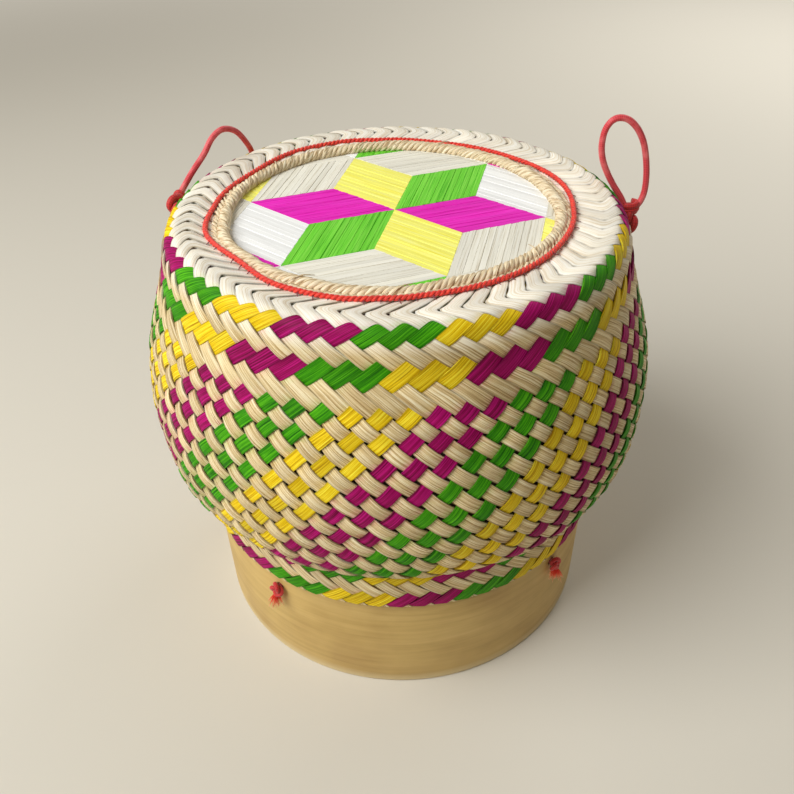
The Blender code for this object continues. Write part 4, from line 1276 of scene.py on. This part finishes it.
def stitches_tree():
    """Short ends along a path, each pointing away from the lid's middle."""
    tree, given = new_tree("stitches_along_path", Path="Object", Stitch="Object", Stitches="Int",
                           Unevenness="Float", Seed="Int", Finish="Material")
    path = wired(tree, "GeometryNodeObjectInfo", out="Geometry", Object=given["Path"])
    points = wired(tree, "GeometryNodeCurveToPoints", {"mode": "COUNT"}, "Points", Curve=path,
                   Count=given["Stitches"])
    outward = wired(tree, "ShaderNodeVectorMath", {"operation": "MULTIPLY"},
                    i0=wired(tree, "GeometryNodeInputPosition"), i1=(1, 1, 0))
    facing_out = wired(tree, "FunctionNodeAlignEulerToVector", {"axis": "X"}, Vector=outward)
    less = maths(tree, "MULTIPLY", given["Unevenness"], -1.0)
    swing = random_number(tree, less, given["Unevenness"], given["Seed"])
    turned = wired(tree, "FunctionNodeRotateEuler", i0=facing_out, i1=joined(tree, 0.0, 0.0, swing))
    stitch = wired(tree, "GeometryNodeObjectInfo", out="Geometry", Object=given["Stitch"])
    laid = wired(tree, "GeometryNodeInstanceOnPoints", Points=points, Instance=stitch, Rotation=turned,
                 Scale=random_number(tree, 0.6, 1.15, given["Seed"]))
    end_tree(tree, laid, given["Finish"])
    return tree


stitch_finish, tree, shader = blank_finish("dark_pink_thread")
feed(tree, shader, Base_Color=(0.20, 0.035, 0.055, 1.0), Roughness=0.7)
along_path = stitches_tree()
path_points = 240


def ends_along(name, centre_at, height, line, radii, **settings):
    """Lays one short end again and again along a ring round the rim."""
    path_data = bpy.data.curves.new(f"{name}_path", "CURVE")
    path_data.dimensions = "3D"
    spline = path_data.splines.new("POLY")
    spline.points.add(path_points - 1)
    for index, point in enumerate(spline.points):
        degrees = index * 360.0 / path_points - 180.0
        point.co = (*round_the_axis(centre_at(degrees)[0], degrees, height), 1.0)
    spline.use_cyclic_u = True
    path = put_in_scene(f"{name}_path", path_data)
    builder = bmesh.new()
    tube(builder, [Vector(spot) for spot in line], radii, 5)
    one_end = finished(f"{name}_source", builder, settings["Finish"])
    ends = grown(name, along_path, Path=path, Stitch=one_end, **settings)
    for source in (path, one_end):
        bpy.data.objects.remove(source, do_unlink=True)
    return ends


rim_stitches = ends_along(
    "rim_cord_stitches", red_cord_centre, red_cord_height,
    ((0.0004, 0.0, 0.0001), (0.0010, 0.0, -0.0001), (0.0016, 0.0002, -0.0003), (0.0022, 0.0005, -0.0006)),
    [0.00014, 0.00014, 0.00011, 0.00006], Stitches=78, Unevenness=0.5, Seed=5, Finish=stitch_finish)
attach(rim_stitches, "lid")
loose_straws = ends_along(
    "loose_straws", straw_centre, 0.1316,
    ((0.0016, -0.0034, 0.0008), (0.0006, -0.0014, 0.0017), (-0.0003, 0.0006, 0.0019),
     (-0.0013, 0.0030, 0.0012)),
    [0.00010, 0.00017, 0.00017, 0.00008], Stitches=46, Unevenness=0.6, Seed=2, Finish=straw)
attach(loose_straws, "lid")

# Photo table: a plain off-white sheet under the basket and behind it, lit by a wide window
# from the left and above, and by the pale room all round, into which the sheet fades.
room_colour = (0.58, 0.54, 0.46, 1.0)


def seen_directly(tree):
    """One where the camera, gloss or glass looks, and nothing where light only bounces."""
    rays = tree.nodes.new("ShaderNodeLightPath").outputs
    seen = maths(tree, "MAXIMUM", rays["Is Camera Ray"], rays["Is Glossy Ray"])
    return maths(tree, "MAXIMUM", seen, rays["Is Transmission Ray"])


fade_starts, fade_ends = 0.55, 1.30
builder = bmesh.new()
bmesh.ops.create_grid(builder, x_segments=1, y_segments=1, size=3.0)
table_finish, tree, shader = blank_finish("off_white_sheet")
feed(tree, shader, Base_Color=(0.66, 0.62, 0.53, 1.0), Roughness=0.7)
away = wired(tree, "ShaderNodeVectorMath", {"operation": "LENGTH"}, "Value", i0=object_place(tree))
far = wired(tree, "ShaderNodeMapRange", {"interpolation_type": "SMOOTHSTEP"}, i0=away, i1=fade_starts,
            i2=fade_ends)
room = wired(tree, "ShaderNodeEmission", Color=room_colour, Strength=1.0)
faded = wired(tree, "ShaderNodeMixShader", i0=maths(tree, "MULTIPLY", far, seen_directly(tree)),
              i1=shader.outputs[0], i2=room)
tree.links.new(faded, tree.nodes["Material Output"].inputs["Surface"])
table_sheet = finished("table_sheet", builder, table_finish)
world = bpy.data.worlds.new("pale_room")
bpy.context.scene.world = world
world.use_nodes = True
tree = world.node_tree
fill = tree.nodes["Background"]
feed(tree, fill, Color=(1.0, 0.88, 0.66, 1.0), Strength=0.13)
room = wired(tree, "ShaderNodeBackground", Color=room_colour, Strength=1.0)
shown = wired(tree, "ShaderNodeMixShader", i0=seen_directly(tree), i1=fill.outputs[0], i2=room)
tree.links.new(shown, tree.nodes["World Output"].inputs["Surface"])


def soft_lamp(name, place, target, size, power, tint, spread=180.0):
    lamp = bpy.data.lights.new(name, "AREA")
    lamp.size = size
    lamp.energy = power
    lamp.color = tint
    lamp.spread = math.radians(spread)
    holder = put_in_scene(name, lamp)
    holder.location = place
    holder.rotation_euler = (Vector(target) - Vector(place)).to_track_quat("-Z", "Y").to_euler()


soft_lamp("window", (-0.60, -0.33, 0.75), (0, 0, 0.08), 0.70, 11.5, (0.98, 0.99, 1.0))
soft_lamp("far_window", (0.76, 0.85, 0.85), (0.70, 0.74, 0.0), 0.80, 6.0, (1.0, 1.0, 1.0), 120.0)
